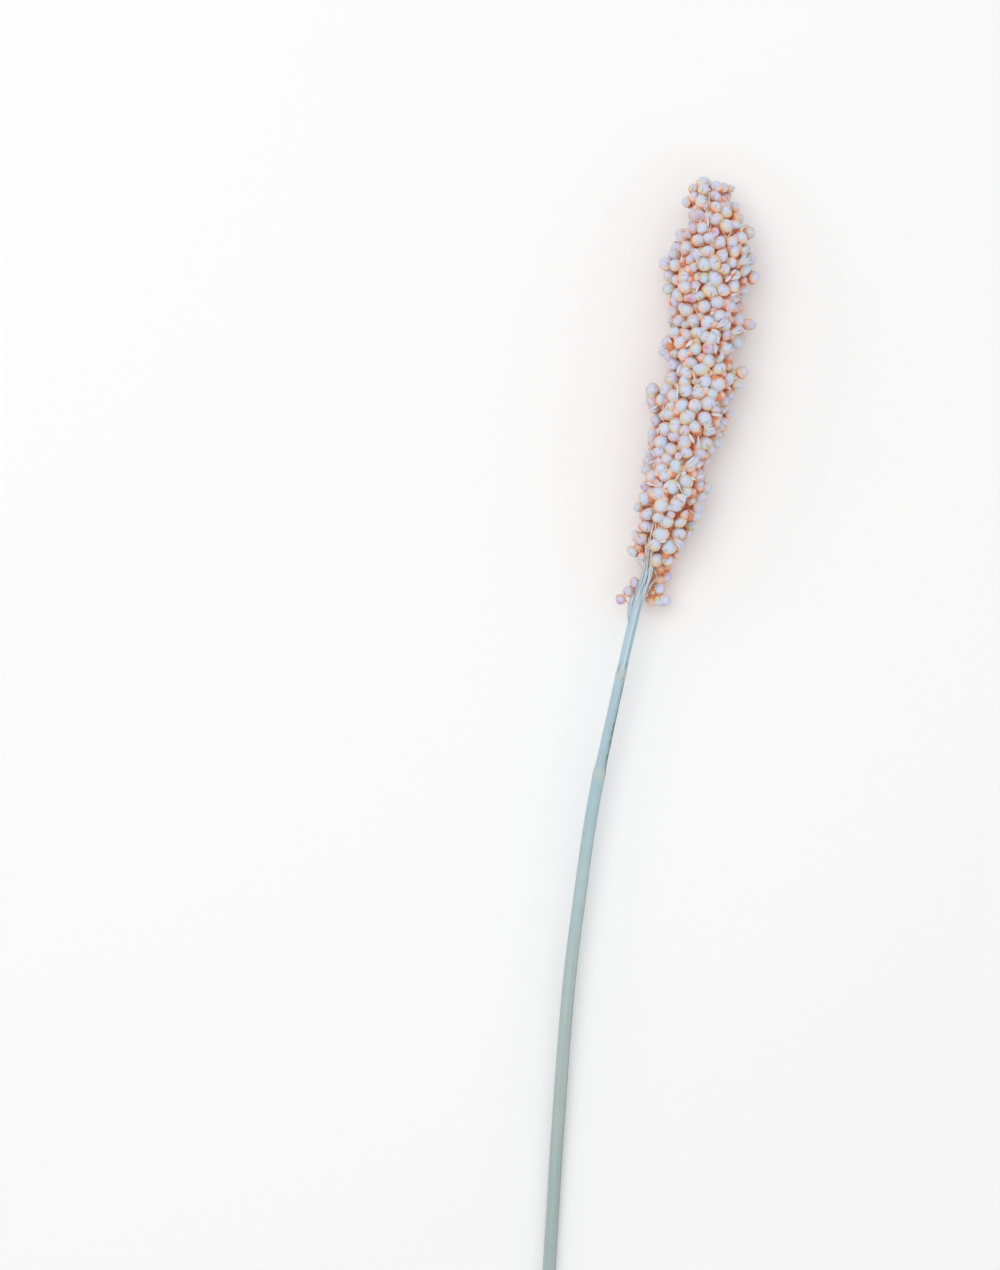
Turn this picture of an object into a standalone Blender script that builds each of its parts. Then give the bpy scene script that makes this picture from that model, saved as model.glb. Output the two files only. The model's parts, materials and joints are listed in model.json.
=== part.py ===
# A dried sorghum seed head on its cut stem, lying on its side.
# Metres, +Z up. The stalk runs along +Y, from its cut end to the tip of the head, and it lies on
# the plane z = 0. The origin is the bottom centre of the part's box.
import math
import random

import bmesh
import bpy
import numpy as np
from mathutils import Matrix, Vector

MM = 0.001

# Where the middle of the part's box lies, seen from above, measured from the cut end.
BOX_MIDDLE = Vector((41.286 * MM, 234.045 * MM, 0.0))

# The stalk's centreline from the cut end to the tip of the head, in millimetres from the cut end.
# The first stretch lies on the floor, and the head's own girth then lifts the rest.
STALK_ROUTE_MM = (
    (0.0, 0.0, 2.62),
    (1.2, 25.0, 2.62),
    (3.1, 57.4, 3.1),
    (4.8, 84.9, 4.0),
    (8.9, 140.4, 6.2),
    (13.4, 178.6, 7.8),
    (18.8, 216.9, 9.4),
    (26.1, 254.8, 11.1),
    (35.0, 291.6, 12.8),
    (41.2, 316.0, 14.0),
    (45.8, 331.0, 14.5),
    (52.0, 350.0, 14.8),
    (57.6, 374.0, 14.9),
    (62.4, 398.0, 14.9),
    (65.2, 422.0, 14.9),
    (66.7, 446.0, 14.7),
    (66.4, 469.0, 14.2),
)

# The culm: a smooth stem with one joint, and a collar where the seed stalk begins. Distances are
# from the cut end, along the stalk.
CULM_SIDES = 12
CULM_STEP = 12 * MM
CULM_RADIUS_MM = (
    (0.0, 2.68),
    (150.0, 2.62),
    (215.0, 2.52),
    (225.0, 2.50),
    (230.0, 2.58),
    (232.0, 2.68),
    (233.5, 2.52),
    (236.0, 2.22),
    (240.0, 2.14),
    (262.0, 2.06),
    (270.5, 2.10),
    (272.5, 2.24),
    (274.0, 2.10),
    (276.0, 1.70),
    (300.0, 1.55),
    (334.0, 1.30),
)
COLLAR_AT = 272.5 * MM
RACHIS_TOP_AT = 334.0 * MM

# The branch strands that lie along the stalk above the collar, up into the head.
STRAND_COUNT = 8
STRAND_RADIUS = 0.5 * MM
STRAND_SIDES = 5
STRAND_STANDS_OUT = -0.12 * MM
STRAND_TWIST = math.radians(38)
STRAND_SEED = 4

# The head: how far out the tips of its grains reach, by the distance down from its tip, for its
# left flank, its right flank, and between the two. All in millimetres.
HEAD_LENGTH = 158 * MM
HEAD_LEFT_MM = (
    (0.0, 0.0), (1.5, 5.5), (5.0, 9.6), (10.0, 11.4), (15.0, 10.2), (23.0, 14.2), (31.0, 16.4),
    (37.0, 18.6), (42.0, 18.2), (47.0, 17.0), (54.0, 14.4), (60.0, 14.4), (68.0, 16.6),
    (75.0, 13.8), (81.0, 12.8), (86.0, 14.5), (90.0, 16.4), (97.0, 15.6), (105.0, 15.0),
    (113.0, 14.0), (120.0, 13.2), (129.0, 11.7), (137.0, 11.0), (144.0, 8.0), (150.0, 9.0),
    (155.0, 8.2), (158.0, 3.0),
)
HEAD_RIGHT_MM = (
    (0.0, 0.0), (1.5, 3.5), (4.0, 7.4), (10.0, 7.6), (15.0, 10.8), (22.0, 15.6), (29.0, 16.2),
    (38.0, 17.0), (44.0, 15.0), (51.0, 14.1), (57.0, 15.4), (64.0, 14.6), (71.0, 12.6),
    (76.0, 15.4), (81.0, 16.6), (86.0, 15.0), (90.0, 13.8), (94.0, 16.2), (99.0, 15.6),
    (107.0, 13.4), (113.0, 12.0), (121.0, 14.0), (129.0, 12.9), (137.0, 13.0), (143.0, 12.8),
    (150.0, 9.6), (155.0, 6.8), (158.0, 3.0),
)
HEAD_MIDDLE_MM = (
    (0.0, 0.0), (1.5, 4.6), (5.0, 8.4), (15.0, 10.8), (23.0, 14.0), (36.0, 16.2), (47.0, 15.2),
    (60.0, 14.6), (75.0, 14.0), (90.0, 15.2), (105.0, 14.2), (120.0, 12.8), (137.0, 11.4),
    (150.0, 9.0), (158.0, 3.0),
)
# Grains that stand out singly: distance down from the tip in millimetres, angle round the axis in
# degrees (0 to the right, 90 up, 180 to the left) and reach in millimetres.
PROUD_GRAINS = (
    (1.0, 178, 5.4),
    (4.6, 20, 7.6),
    (37.6, 181, 20.3),
    (38.2, 358, 19.3),
    (57.4, 3, 19.4),
    (76.0, 6, 18.8),
    (90.2, 178, 19.6),
    (150.6, 176, 9.4),
)
# The short branches end in rounded tufts with grooves between them.
SPRAY_COUNT = 30
SPRAY_HEIGHT = 1.6 * MM
SPRAY_HALF_WIDTH = 8.0 * MM

GRAIN_COUNT = 336
GRAIN_RADIUS = 3.1 * MM
GRAIN_HALF_LENGTH = 3.8 * MM
GRAIN_SIZE_SPREAD = 0.09
GRAIN_LEAN = math.radians(32)
GRAIN_LEAN_AT_TIP = math.radians(84)
GRAIN_TURN_SPREAD = math.radians(8)
GRAIN_SEED = 10
GOLDEN_ANGLE = math.pi * (3 - math.sqrt(5))

CORE_DEPTH = 3.6 * MM
CORE_SIDES = 8
CORE_RINGS = 11
CORE_LEAST_RADIUS = 1.2 * MM
CORE_FOOT_RADIUS = 3.9 * MM
CORE_FOOT_LENGTH = 22 * MM
SOCKET_RADIUS = 2.65 * MM
SOCKET_GAP = 0.3 * MM
# The most triangles that the head keeps, to stay a light solid.
HEAD_TRIANGLES = 11500

# Grains that would reach further under the floor than this are pushed up, and their undersides
# are cut flat at it.
FLOOR_BITE = 0.6 * MM

# The loose sprays under the head: the points of each one's thin stalk, and the middles of its
# grains, in millimetres from the cut end. Each stalk starts just beside the seed stalk.
LOW_SPRAYS_MM = {
    "low_spray_left": {
        "stalk": ((32.2, 291.0, 12.6), (31.8, 295.5, 12.2), (32.2, 300.0, 11.6), (33.2, 304.0, 11.0),
                  (34.8, 307.0, 10.8)),
        "grains": ((34.8, 307.2, 10.8), (32.4, 303.6, 11.0), (29.7, 300.5, 11.4)),
    },
    "low_spray_right": {
        "stalk": ((39.4, 299.6, 10.6), (41.6, 303.4, 10.0), (44.2, 307.0, 9.4), (47.0, 310.8, 8.8)),
        "grains": (
            (48.6, 309.0, 8.8),
            (48.0, 313.0, 8.0),
            (44.6, 311.2, 7.8),
            (45.2, 304.6, 9.4),
            (46.4, 300.2, 9.0),
            (42.6, 300.6, 8.4),
        ),
    },
    "low_spray_back": {
        "stalk": ((35.2, 293.6, 9.4), (35.4, 298.0, 8.4), (36.4, 303.0, 7.0), (37.2, 308.0, 5.6)),
        "grains": ((37.4, 309.6, 5.2), (40.2, 306.2, 4.8), (34.6, 305.8, 5.4), (36.6, 302.2, 4.6)),
    },
}
LOW_GRAIN_RADIUS = 2.35 * MM
LOW_GRAIN_HALF_LENGTH = 2.75 * MM
LOW_STALK_RADIUS = 0.48 * MM
LOW_STALK_SIDES = 6
LOW_SPRAY_SEED = 7

# Faces that meet at more than this keep a sharp edge.
SHARP_ANGLE = math.radians(35)

# Name: colour, roughness.
MATERIALS = {
    "stem_skin": ((0.66, 0.75, 0.72), 0.55),
    "grain_pink": ((0.90, 0.72, 0.62), 0.7),
}


def clear_scene():
    for obj in list(bpy.data.objects):
        bpy.data.objects.remove(obj, do_unlink=True)


def make_material(name):
    colour, roughness = MATERIALS[name]
    material = bpy.data.materials.new(name)
    material.use_nodes = True
    shader = material.node_tree.nodes["Principled BSDF"]
    shader.inputs["Base Color"].default_value = (*colour, 1)
    shader.inputs["Roughness"].default_value = roughness
    shader.inputs["Metallic"].default_value = 0.0
    return material


def add_mesh(name, points, faces, material=None):
    mesh = bpy.data.meshes.new(name)
    mesh.from_pydata([tuple(p) for p in points], [], faces)
    mesh.update()
    if material:
        mesh.materials.append(material)
    obj = bpy.data.objects.new(name, mesh)
    bpy.context.scene.collection.objects.link(obj)
    return obj


class Route:
    """A smooth curve through hand-set points, read by its length from the start."""

    def __init__(self, points, samples_per_span=24):
        points = [Vector(p) for p in points]
        ends = [2 * points[0] - points[1], *points, 2 * points[-1] - points[-2]]
        self.points = []
        for before, start, end, after in zip(ends, ends[1:], ends[2:], ends[3:]):
            for step in range(samples_per_span):
                self.points.append(self._between(before, start, end, after, step / samples_per_span))
        self.points.append(points[-1])
        steps = [(b - a).length for a, b in zip(self.points, self.points[1:])]
        self.lengths = np.concatenate([[0.0], np.cumsum(steps)])
        self.length = float(self.lengths[-1])

    @staticmethod
    def _between(before, start, end, after, share):
        pull_start = (end - before) / 2
        pull_end = (after - start) / 2
        square, cube = share**2, share**3
        return (
            start * (2 * cube - 3 * square + 1)
            + pull_start * (cube - 2 * square + share)
            + end * (3 * square - 2 * cube)
            + pull_end * (cube - square)
        )

    def at(self, length):
        """The point at that length, and past the ends a point on the straight line on."""
        index = int(np.clip(np.searchsorted(self.lengths, length) - 1, 0, len(self.points) - 2))
        a, b = self.points[index], self.points[index + 1]
        share = (length - self.lengths[index]) / (self.lengths[index + 1] - self.lengths[index])
        return a + (b - a) * share

    def frame(self, length):
        """The direction along the curve, the one to its right and the one above it."""
        near = 1.5 * MM
        along = (self.at(length + near) - self.at(length - near)).normalized()
        right = along.cross(Vector((0, 0, 1))).normalized()
        return along, right, right.cross(along)

    def around(self, length, angle, radius):
        _, right, above = self.frame(length)
        return self.at(length) + (right * math.cos(angle) + above * math.sin(angle)) * radius


STALK = Route([Vector(p) * MM for p in STALK_ROUTE_MM])
HEAD_BASE = STALK.length - HEAD_LENGTH


def smooth_step(value):
    share = min(1.0, max(0.0, value))
    return share * share * (3 - 2 * share)


def bump(distance, half_width):
    return math.exp(-((distance / half_width) ** 2))


def tube(name, centres, rings, material=None):
    """A closed tube through rings of points, with a flat fan at each end."""
    sides = len(rings[0])
    points = [p for ring in rings for p in ring] + [centres[0], centres[-1]]
    first_cap, last_cap = len(points) - 2, len(points) - 1
    faces = []
    for row in range(len(rings) - 1):
        for side in range(sides):
            after = (side + 1) % sides
            low, high = row * sides, (row + 1) * sides
            faces.append((low + side, high + side, high + after, low + after))
    last_row = (len(rings) - 1) * sides
    for side in range(sides):
        after = (side + 1) % sides
        faces.append((first_cap, side, after))
        faces.append((last_cap, last_row + after, last_row + side))
    return add_mesh(name, points, faces, material)


def apply_modifier(obj, modifier):
    with bpy.context.temp_override(object=obj, active_object=obj, selected_objects=[obj]):
        bpy.ops.object.modifier_apply(modifier=modifier.name)


def combine(obj, others, operation, solver="EXACT"):
    """One Boolean of the object with a collection of others, applied. The others are then removed."""
    helpers = bpy.data.collections.new("helpers")
    bpy.context.scene.collection.children.link(helpers)
    for other in others:
        bpy.context.scene.collection.objects.unlink(other)
        helpers.objects.link(other)
    modifier = obj.modifiers.new(operation.lower(), "BOOLEAN")
    modifier.operation = operation
    modifier.operand_type = "COLLECTION"
    modifier.collection = helpers
    modifier.solver = solver
    apply_modifier(obj, modifier)
    for other in others:
        bpy.data.objects.remove(other, do_unlink=True)
    bpy.data.collections.remove(helpers)


def drop_loose_scraps(obj):
    """Keeps the largest connected body of the mesh."""
    mesh = obj.data
    group = list(range(len(mesh.vertices)))

    def root(index):
        while group[index] != index:
            group[index] = group[group[index]]
            index = group[index]
        return index

    for edge in mesh.edges:
        a, b = (root(v) for v in edge.vertices)
        group[a] = b
    roots = [root(v.index) for v in mesh.vertices]
    biggest = max(set(roots), key=roots.count)
    keep = {index for index, found in enumerate(roots) if found == biggest}
    if len(keep) == len(roots):
        return
    order = {old: new for new, old in enumerate(sorted(keep))}
    points = [mesh.vertices[old].co.copy() for old in sorted(keep)]
    faces = [[order[v] for v in face.vertices] for face in mesh.polygons if face.vertices[0] in keep]
    materials = list(mesh.materials)
    mesh.clear_geometry()
    mesh.from_pydata(points, [], faces)
    for material in materials:
        mesh.materials.append(material)
    mesh.update()


# The culm and the ribbed stalk


def table_value(table_mm, distance):
    return MM * float(np.interp(distance / MM, [row[0] for row in table_mm], [row[1] for row in table_mm]))


def culm_radius(length):
    return table_value(CULM_RADIUS_MM, length)


def culm_stations():
    """Where the culm has a ring of points: even steps, and each row of its radius table."""
    rows = [row[0] * MM for row in CULM_RADIUS_MM]
    even = np.arange(CULM_STEP, RACHIS_TOP_AT, CULM_STEP)
    return sorted(rows + [station for station in even if min(abs(station - row) for row in rows) > CULM_STEP / 2])


def make_strand(index, draw):
    """A branch strand that leaves the collar and lies along the stalk into the head, half sunk."""
    start_angle = 2 * math.pi * (index + draw.uniform(-0.25, 0.25)) / STRAND_COUNT
    first = COLLAR_AT + draw.uniform(1.2, 3.4) * MM
    last = RACHIS_TOP_AT - draw.uniform(1, 9) * MM
    phase = draw.uniform(0, 2 * math.pi)
    rows = 11
    centres, rings = [], []
    for row in range(rows):
        share = row / (rows - 1)
        length = first + (last - first) * share
        angle = start_angle + STRAND_TWIST * share + 0.12 * math.sin(phase + 5 * share)
        out = culm_radius(length) + STRAND_STANDS_OUT
        centre = STALK.around(length, angle, out)
        _, right, above = STALK.frame(length)
        radius = STRAND_RADIUS * (1 - 0.15 * share)
        centres.append(centre)
        rings.append(
            [
                centre + (right * math.cos(turn) + above * math.sin(turn)) * radius
                for turn in (2 * math.pi * side / STRAND_SIDES + angle for side in range(STRAND_SIDES))
            ]
        )
    return tube(f"strand_{index}", centres, rings)


def make_stem(material):
    # Half a side's turn puts one flat side straight down, on the floor.
    turn = math.pi / CULM_SIDES
    centres, rings = [], []
    for length in culm_stations():
        centres.append(STALK.at(length))
        angles = [2 * math.pi * side / CULM_SIDES + turn for side in range(CULM_SIDES)]
        rings.append([STALK.around(length, angle, culm_radius(length)) for angle in angles])
    stem = tube("stem", centres, rings, material)
    draw = random.Random(STRAND_SEED)
    combine(stem, [make_strand(index, draw) for index in range(STRAND_COUNT)], "UNION")
    return stem


# The head and its grains


def spray_centres():
    """Where the short branches end: even over the head, by the golden angle."""
    draw = random.Random(GRAIN_SEED + 1)
    centres = []
    for index in range(SPRAY_COUNT):
        down = HEAD_LENGTH * (index + 0.5) / SPRAY_COUNT
        angle = index * GOLDEN_ANGLE + draw.uniform(-0.25, 0.25)
        centres.append((down, angle, SPRAY_HEIGHT * draw.uniform(0.6, 1.25)))
    return centres


SPRAYS = spray_centres()


def reach(down, angle):
    """How far out the head goes: its flanks to the left and right, and rounded tufts between them."""
    across = math.cos(angle)
    middle = table_value(HEAD_MIDDLE_MM, down)
    flank = table_value(HEAD_RIGHT_MM if across > 0 else HEAD_LEFT_MM, down)
    rise = 0.0
    for centre_down, centre_angle, height in SPRAYS:
        turn = (angle - centre_angle + math.pi) % math.tau - math.pi
        apart = math.hypot(down - centre_down, turn * max(middle, 2 * GRAIN_RADIUS))
        rise = max(rise, height * bump(apart, SPRAY_HALF_WIDTH))
    rise = (rise - SPRAY_HEIGHT / 2) * smooth_step(middle / (3 * GRAIN_RADIUS))
    share = abs(across) ** 1.5
    return middle + rise + (flank - middle - rise) * share


def even_places(count, draw):
    """(distance down from the tip, angle) pairs spread evenly over the head's surface."""
    downs = np.linspace(0.0, HEAD_LENGTH, 400)
    radii = np.array([table_value(HEAD_MIDDLE_MM, d) for d in downs])
    slant = np.hypot(np.diff(downs), np.diff(radii))
    area = np.concatenate([[0.0], np.cumsum((radii[1:] + radii[:-1]) / 2 * slant)])
    for index in range(count):
        share = (index + 0.5 + draw.uniform(-0.3, 0.3)) / count
        down = float(np.interp(share * area[-1], area, downs))
        yield down, index * GOLDEN_ANGLE + draw.uniform(-0.06, 0.06)


def grain_solid(name, centre, direction, radius, half_length, turn):
    """A bud with twenty faces, its length along direction."""
    facing = direction.to_track_quat("Z", "Y").to_matrix().to_4x4()
    size = Matrix.Diagonal((radius, radius, half_length, 1))
    place = Matrix.Translation(centre) @ facing @ Matrix.Rotation(turn, 4, "Z") @ size
    mesh = bpy.data.meshes.new(name)
    shape = bmesh.new()
    bmesh.ops.create_icosphere(shape, subdivisions=1, radius=1, matrix=place)
    shape.to_mesh(mesh)
    shape.free()
    obj = bpy.data.objects.new(name, mesh)
    bpy.context.scene.collection.objects.link(obj)
    return obj


def head_place(down, angle, out):
    return STALK.around(STALK.length - down, angle, out)


def grain_places(draw):
    """(distance down, angle, reach) of each grain: the proud ones, then even ones clear of them."""
    proud = [(down * MM, math.radians(angle), out * MM) for down, angle, out in PROUD_GRAINS]
    taken = [head_place(down, angle, reach(down, angle)) for down, angle, _ in proud]
    # A second grain under each proud one joins it to the rest.
    places = proud + [(down, angle, out - GRAIN_HALF_LENGTH) for down, angle, out in proud]
    for down, angle in even_places(GRAIN_COUNT, draw):
        out = reach(down, angle)
        if min((head_place(down, angle, out) - other).length for other in taken) > 1.6 * GRAIN_RADIUS:
            places.append((down, angle, out))
    return places


def make_grains():
    draw = random.Random(GRAIN_SEED)
    grains = []
    for index, (down, angle, out) in enumerate(grain_places(draw)):
        along, right, above = STALK.frame(STALK.length - down)
        to_tip = smooth_step(1 - down / (14 * MM))
        lean = GRAIN_LEAN + (GRAIN_LEAN_AT_TIP - GRAIN_LEAN) * to_tip
        outward = right * math.cos(angle) + above * math.sin(angle)
        direction = outward * math.cos(lean) + along * math.sin(lean)
        wobble = Vector([draw.gauss(0, GRAIN_TURN_SPREAD) for _ in range(3)])
        direction = (direction + wobble).normalized()
        size = 1 + draw.uniform(-GRAIN_SIZE_SPREAD, GRAIN_SIZE_SPREAD)
        radius, half_length = GRAIN_RADIUS * size, GRAIN_HALF_LENGTH * size
        centre = head_place(down, angle, out) - direction * half_length
        grain = grain_solid(f"grain_{index}", centre, direction, radius, half_length, draw.uniform(0, math.tau))
        lowest = min(vertex.co.z for vertex in grain.data.vertices)
        if lowest < -FLOOR_BITE:
            grain.data.transform(Matrix.Translation((0, 0, -FLOOR_BITE - lowest)))
        grains.append(grain)
    return grains


def core_radius(down, angle):
    in_foot = down > HEAD_LENGTH - CORE_FOOT_LENGTH
    return max(CORE_FOOT_RADIUS if in_foot else CORE_LEAST_RADIUS, reach(down, angle) - CORE_DEPTH)


def make_core(material):
    """The packed branch bases inside the head, which the grains stand out of."""
    first, last = 3.5 * MM, HEAD_LENGTH - 1.5 * MM
    centres, rings = [], []
    for row in range(CORE_RINGS):
        down = last + (first - last) * row / (CORE_RINGS - 1)
        length = STALK.length - down
        centres.append(STALK.at(length))
        angles = [2 * math.pi * side / CORE_SIDES for side in range(CORE_SIDES)]
        ring = [STALK.around(length, a, core_radius(down, a)) for a in angles]
        for point in ring:
            point.z = max(point.z, GRAIN_RADIUS * 0.6)
        rings.append(ring)
    return tube("head", centres, rings, material)


def make_socket():
    """The space in the head's foot that the seed stalk stands in, with a gap all round it."""
    first, last = HEAD_BASE - 12 * MM, RACHIS_TOP_AT + SOCKET_GAP
    sides, rows = 10, 6
    centres, rings = [], []
    for row in range(rows):
        length = first + (last - first) * row / (rows - 1)
        centres.append(STALK.at(length))
        rings.append([STALK.around(length, math.tau * side / sides, SOCKET_RADIUS) for side in range(sides)])
    return tube("socket", centres, rings)


def floor_block():
    """A block that fills the space under the floor, below the head."""
    mesh = bpy.data.meshes.new("floor_block")
    shape = bmesh.new()
    middle = STALK.at(STALK.length - HEAD_LENGTH / 2)
    place = Matrix.Translation((middle.x, middle.y, -HEAD_LENGTH))
    bmesh.ops.create_cube(shape, size=2 * HEAD_LENGTH, matrix=place)
    shape.to_mesh(mesh)
    shape.free()
    obj = bpy.data.objects.new("floor_block", mesh)
    bpy.context.scene.collection.objects.link(obj)
    return obj


def thin_out(obj, most_triangles):
    """Merges the shortest edges, which lie in the creases between grains, down to that many triangles."""
    triangulate = obj.modifiers.new("triangulate", "TRIANGULATE")
    apply_modifier(obj, triangulate)
    decimate = obj.modifiers.new("decimate", "DECIMATE")
    decimate.ratio = min(1.0, most_triangles / len(obj.data.polygons))
    apply_modifier(obj, decimate)


def make_head(material):
    head = make_core(material)
    combine(head, make_grains(), "UNION")
    drop_loose_scraps(head)
    thin_out(head, HEAD_TRIANGLES)
    # EXACT leaves a few edges with more than two faces here.
    combine(head, [make_socket(), floor_block()], "DIFFERENCE", "MANIFOLD")
    drop_loose_scraps(head)
    return head


# The loose sprays under the head


def make_low_spray(name, spec, draw, material):
    """A thin stalk beside the seed stalk, with a few grains on its outer half."""
    route = Route([Vector(point) * MM for point in spec["stalk"]], samples_per_span=8)
    centres, rings = [], []
    for length in np.linspace(0, route.length, 8):
        centres.append(route.at(length))
        turns = [math.tau * side / LOW_STALK_SIDES for side in range(LOW_STALK_SIDES)]
        rings.append([route.around(length, turn, LOW_STALK_RADIUS) for turn in turns])
    spray = tube(name, centres, rings, material)
    grains = []
    for index, place in enumerate(spec["grains"]):
        centre = Vector(place) * MM
        nearest = min(route.points, key=lambda point: (point - centre).length)
        along = route.frame(route.length)[0]
        direction = (centre - nearest + along * LOW_GRAIN_RADIUS * draw.uniform(0.3, 0.7)).normalized()
        turn = draw.uniform(0, math.tau)
        grains.append(
            grain_solid(f"{name}_grain_{index}", centre, direction, LOW_GRAIN_RADIUS, LOW_GRAIN_HALF_LENGTH, turn)
        )
    combine(spray, grains, "UNION")
    drop_loose_scraps(spray)
    return spray


def finish(node):
    """Shades the node, and moves it from the cut end's frame to that of the part's box."""
    node.data.transform(Matrix.Translation(-BOX_MIDDLE))
    node.data.shade_smooth()
    node.data.set_sharp_from_angle(angle=SHARP_ANGLE)


def main():
    clear_scene()
    skin = make_material("stem_skin")
    pink = make_material("grain_pink")
    nodes = [make_stem(skin), make_head(pink)]
    draw = random.Random(LOW_SPRAY_SEED)
    for name, spec in LOW_SPRAYS_MM.items():
        nodes.append(make_low_spray(name, spec, draw, pink))
    for node in nodes:
        finish(node)


main()
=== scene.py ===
import json
import math
import random

import bpy
import numpy as np
from mathutils import Matrix, Vector

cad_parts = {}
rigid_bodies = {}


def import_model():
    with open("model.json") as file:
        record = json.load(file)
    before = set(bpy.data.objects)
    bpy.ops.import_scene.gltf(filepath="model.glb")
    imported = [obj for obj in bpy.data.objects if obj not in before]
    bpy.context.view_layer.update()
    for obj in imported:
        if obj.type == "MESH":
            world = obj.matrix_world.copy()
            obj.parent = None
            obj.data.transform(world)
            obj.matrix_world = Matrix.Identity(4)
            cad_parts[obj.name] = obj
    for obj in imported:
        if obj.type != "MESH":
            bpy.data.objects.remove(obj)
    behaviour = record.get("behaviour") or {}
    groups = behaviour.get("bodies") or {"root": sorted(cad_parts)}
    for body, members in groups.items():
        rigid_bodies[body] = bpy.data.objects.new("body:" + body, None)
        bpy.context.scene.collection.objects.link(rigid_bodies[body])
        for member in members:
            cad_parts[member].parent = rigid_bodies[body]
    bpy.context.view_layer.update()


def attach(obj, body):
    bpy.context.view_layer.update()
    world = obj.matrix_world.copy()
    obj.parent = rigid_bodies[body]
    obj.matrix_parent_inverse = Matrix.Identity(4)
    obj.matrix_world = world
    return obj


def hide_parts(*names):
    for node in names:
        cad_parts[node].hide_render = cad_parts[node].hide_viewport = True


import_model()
mm = 0.001
goldenAngle = math.pi * (3 - math.sqrt(5))

# The stalk that everything follows. The route is in millimetres from the cut end.
stalkPlan = {
    "cutEnd": (-41.286, -234.045, 0.0),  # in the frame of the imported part
    "route": (
        (0.0, 0.0, 2.62), (1.2, 25.0, 2.62), (3.1, 57.4, 3.1), (4.8, 84.9, 4.0), (8.9, 140.4, 6.2),
        (13.4, 178.6, 7.8), (18.9, 216.9, 9.4), (26.7, 254.8, 11.1), (35.0, 291.6, 12.8),
        (41.2, 316.0, 14.0), (45.8, 331.0, 14.5), (52.0, 350.0, 14.8), (57.6, 374.0, 14.9),
        (62.4, 398.0, 14.9), (65.2, 422.0, 14.9), (66.7, 446.0, 14.7), (66.4, 469.0, 14.2),
    ),
}


def unit(rows):
    return rows / np.linalg.norm(rows, axis=-1, keepdims=True)


class Route:  # a smooth curve through a few points, read by its length from the start
    near = 1.5 * mm

    def __init__(self, points, perSpan=24):
        points = np.array(points, float)
        ends = np.vstack([2 * points[0] - points[1], points, 2 * points[-1] - points[-2]])
        share = (np.arange(perSpan) / perSpan)[:, None]
        square, cube = share**2, share**3
        spans = []
        for before, start, end, after in zip(ends, ends[1:], ends[2:], ends[3:]):
            spans.append(
                start * (2 * cube - 3 * square + 1)
                + (end - before) / 2 * (cube - 2 * square + share)
                + end * (3 * square - 2 * cube)
                + (after - start) / 2 * (cube - square)
            )
        self.points = np.vstack([*spans, points[-1:]])
        steps = np.linalg.norm(np.diff(self.points, axis=0), axis=1)
        self.lengths = np.concatenate([[0.0], np.cumsum(steps)])
        self.length = float(self.lengths[-1])
        self.startWay = unit(self.points[1] - self.points[0])
        self.endWay = unit(self.points[-1] - self.points[-2])

    def at(self, length):
        length = np.asarray(length, float)
        inside = np.stack([np.interp(length, self.lengths, self.points[:, k]) for k in range(3)], -1)
        before = np.minimum(length, 0)[..., None] * self.startWay
        after = np.maximum(length - self.length, 0)[..., None] * self.endWay
        return inside + before + after

    def frame(self, length):  # the ways along the curve, to its right and above it
        length = np.asarray(length, float)
        along = unit(self.at(length + self.near) - self.at(length - self.near))
        right = unit(np.cross(along, (0.0, 0.0, 1.0)))
        return along, right, np.cross(right, along)

    def place(self, across, length, height):
        _, right, above = self.frame(length)
        across, height = np.asarray(across)[..., None], np.asarray(height)[..., None]
        return self.at(length) + across * right + height * above

    def nearest(self, point):
        return float(self.lengths[np.argmin(np.linalg.norm(self.points - point, axis=1))])


def inFrame(points):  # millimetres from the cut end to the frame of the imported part
    return (np.array(points, float) + stalkPlan["cutEnd"]) * mm


stalk = Route(inFrame(stalkPlan["route"]))

# Places are read off the photo. It looks straight down on its middle, a pixel is 0.4 mm at the
# height of the stalk, and its lower edge is 32 mm from the cut end.
photoScale = {
    "pixel": 0.4 * mm,
    "left": 546,
    "bottom": 1270,
    "below": 32.0 * mm,
    "viewCentre": np.array((-59.686, 51.955, 14.7)) * mm,
    "viewHeight": 508 * mm,
    "lens": 85.0,
    "sensor": 36.0,
    "stalkHeight": 14 * mm,
    "headTop": 26 * mm,
    "headFoot": 590,  # the row of pixels where the head ends
}
viewDistance = photoScale["viewHeight"] * photoScale["lens"] / photoScale["sensor"]


def seen(x, y, height):  # the point at this height above the floor that the photo shows at x, y
    across = (x - photoScale["left"]) * photoScale["pixel"]
    along = (photoScale["bottom"] - y) * photoScale["pixel"] + photoScale["below"]
    flat = np.array((across, along, 0.0)) + inFrame((0, 0, 0))
    centre = photoScale["viewCentre"]
    point = centre + (flat - centre) * (1 - (height - centre[2]) / viewDistance)
    point[2] = height
    return point


def straightFrom(x, y, height):  # how far across and along the stalk the photo shows x, y, at this height
    point = seen(x, y, height)
    along = stalk.lengths[np.argmin(np.linalg.norm(stalk.points[:, :2] - point[:2], axis=1))]
    _, right, _ = stalk.frame(along)
    return float(np.dot((point - stalk.at(along))[:2], right[:2])), float(along)


# Small tools for modelling


def editMode(piece):
    bpy.context.view_layer.objects.active = piece
    bpy.ops.object.mode_set(mode="EDIT")


def objectMode():
    if bpy.context.object and bpy.context.object.mode != "OBJECT":
        bpy.ops.object.mode_set(mode="OBJECT")


def deselectAll():
    objectMode()
    for piece in bpy.context.scene.objects:
        piece.select_set(False)


def selectOnly(*pieces):  # the first of them is the active one
    deselectAll()
    for piece in pieces:
        piece.select_set(True)
    bpy.context.view_layer.objects.active = pieces[0]


def named(name):
    piece = bpy.context.object
    piece.name = piece.data.name = name
    return piece


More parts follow.
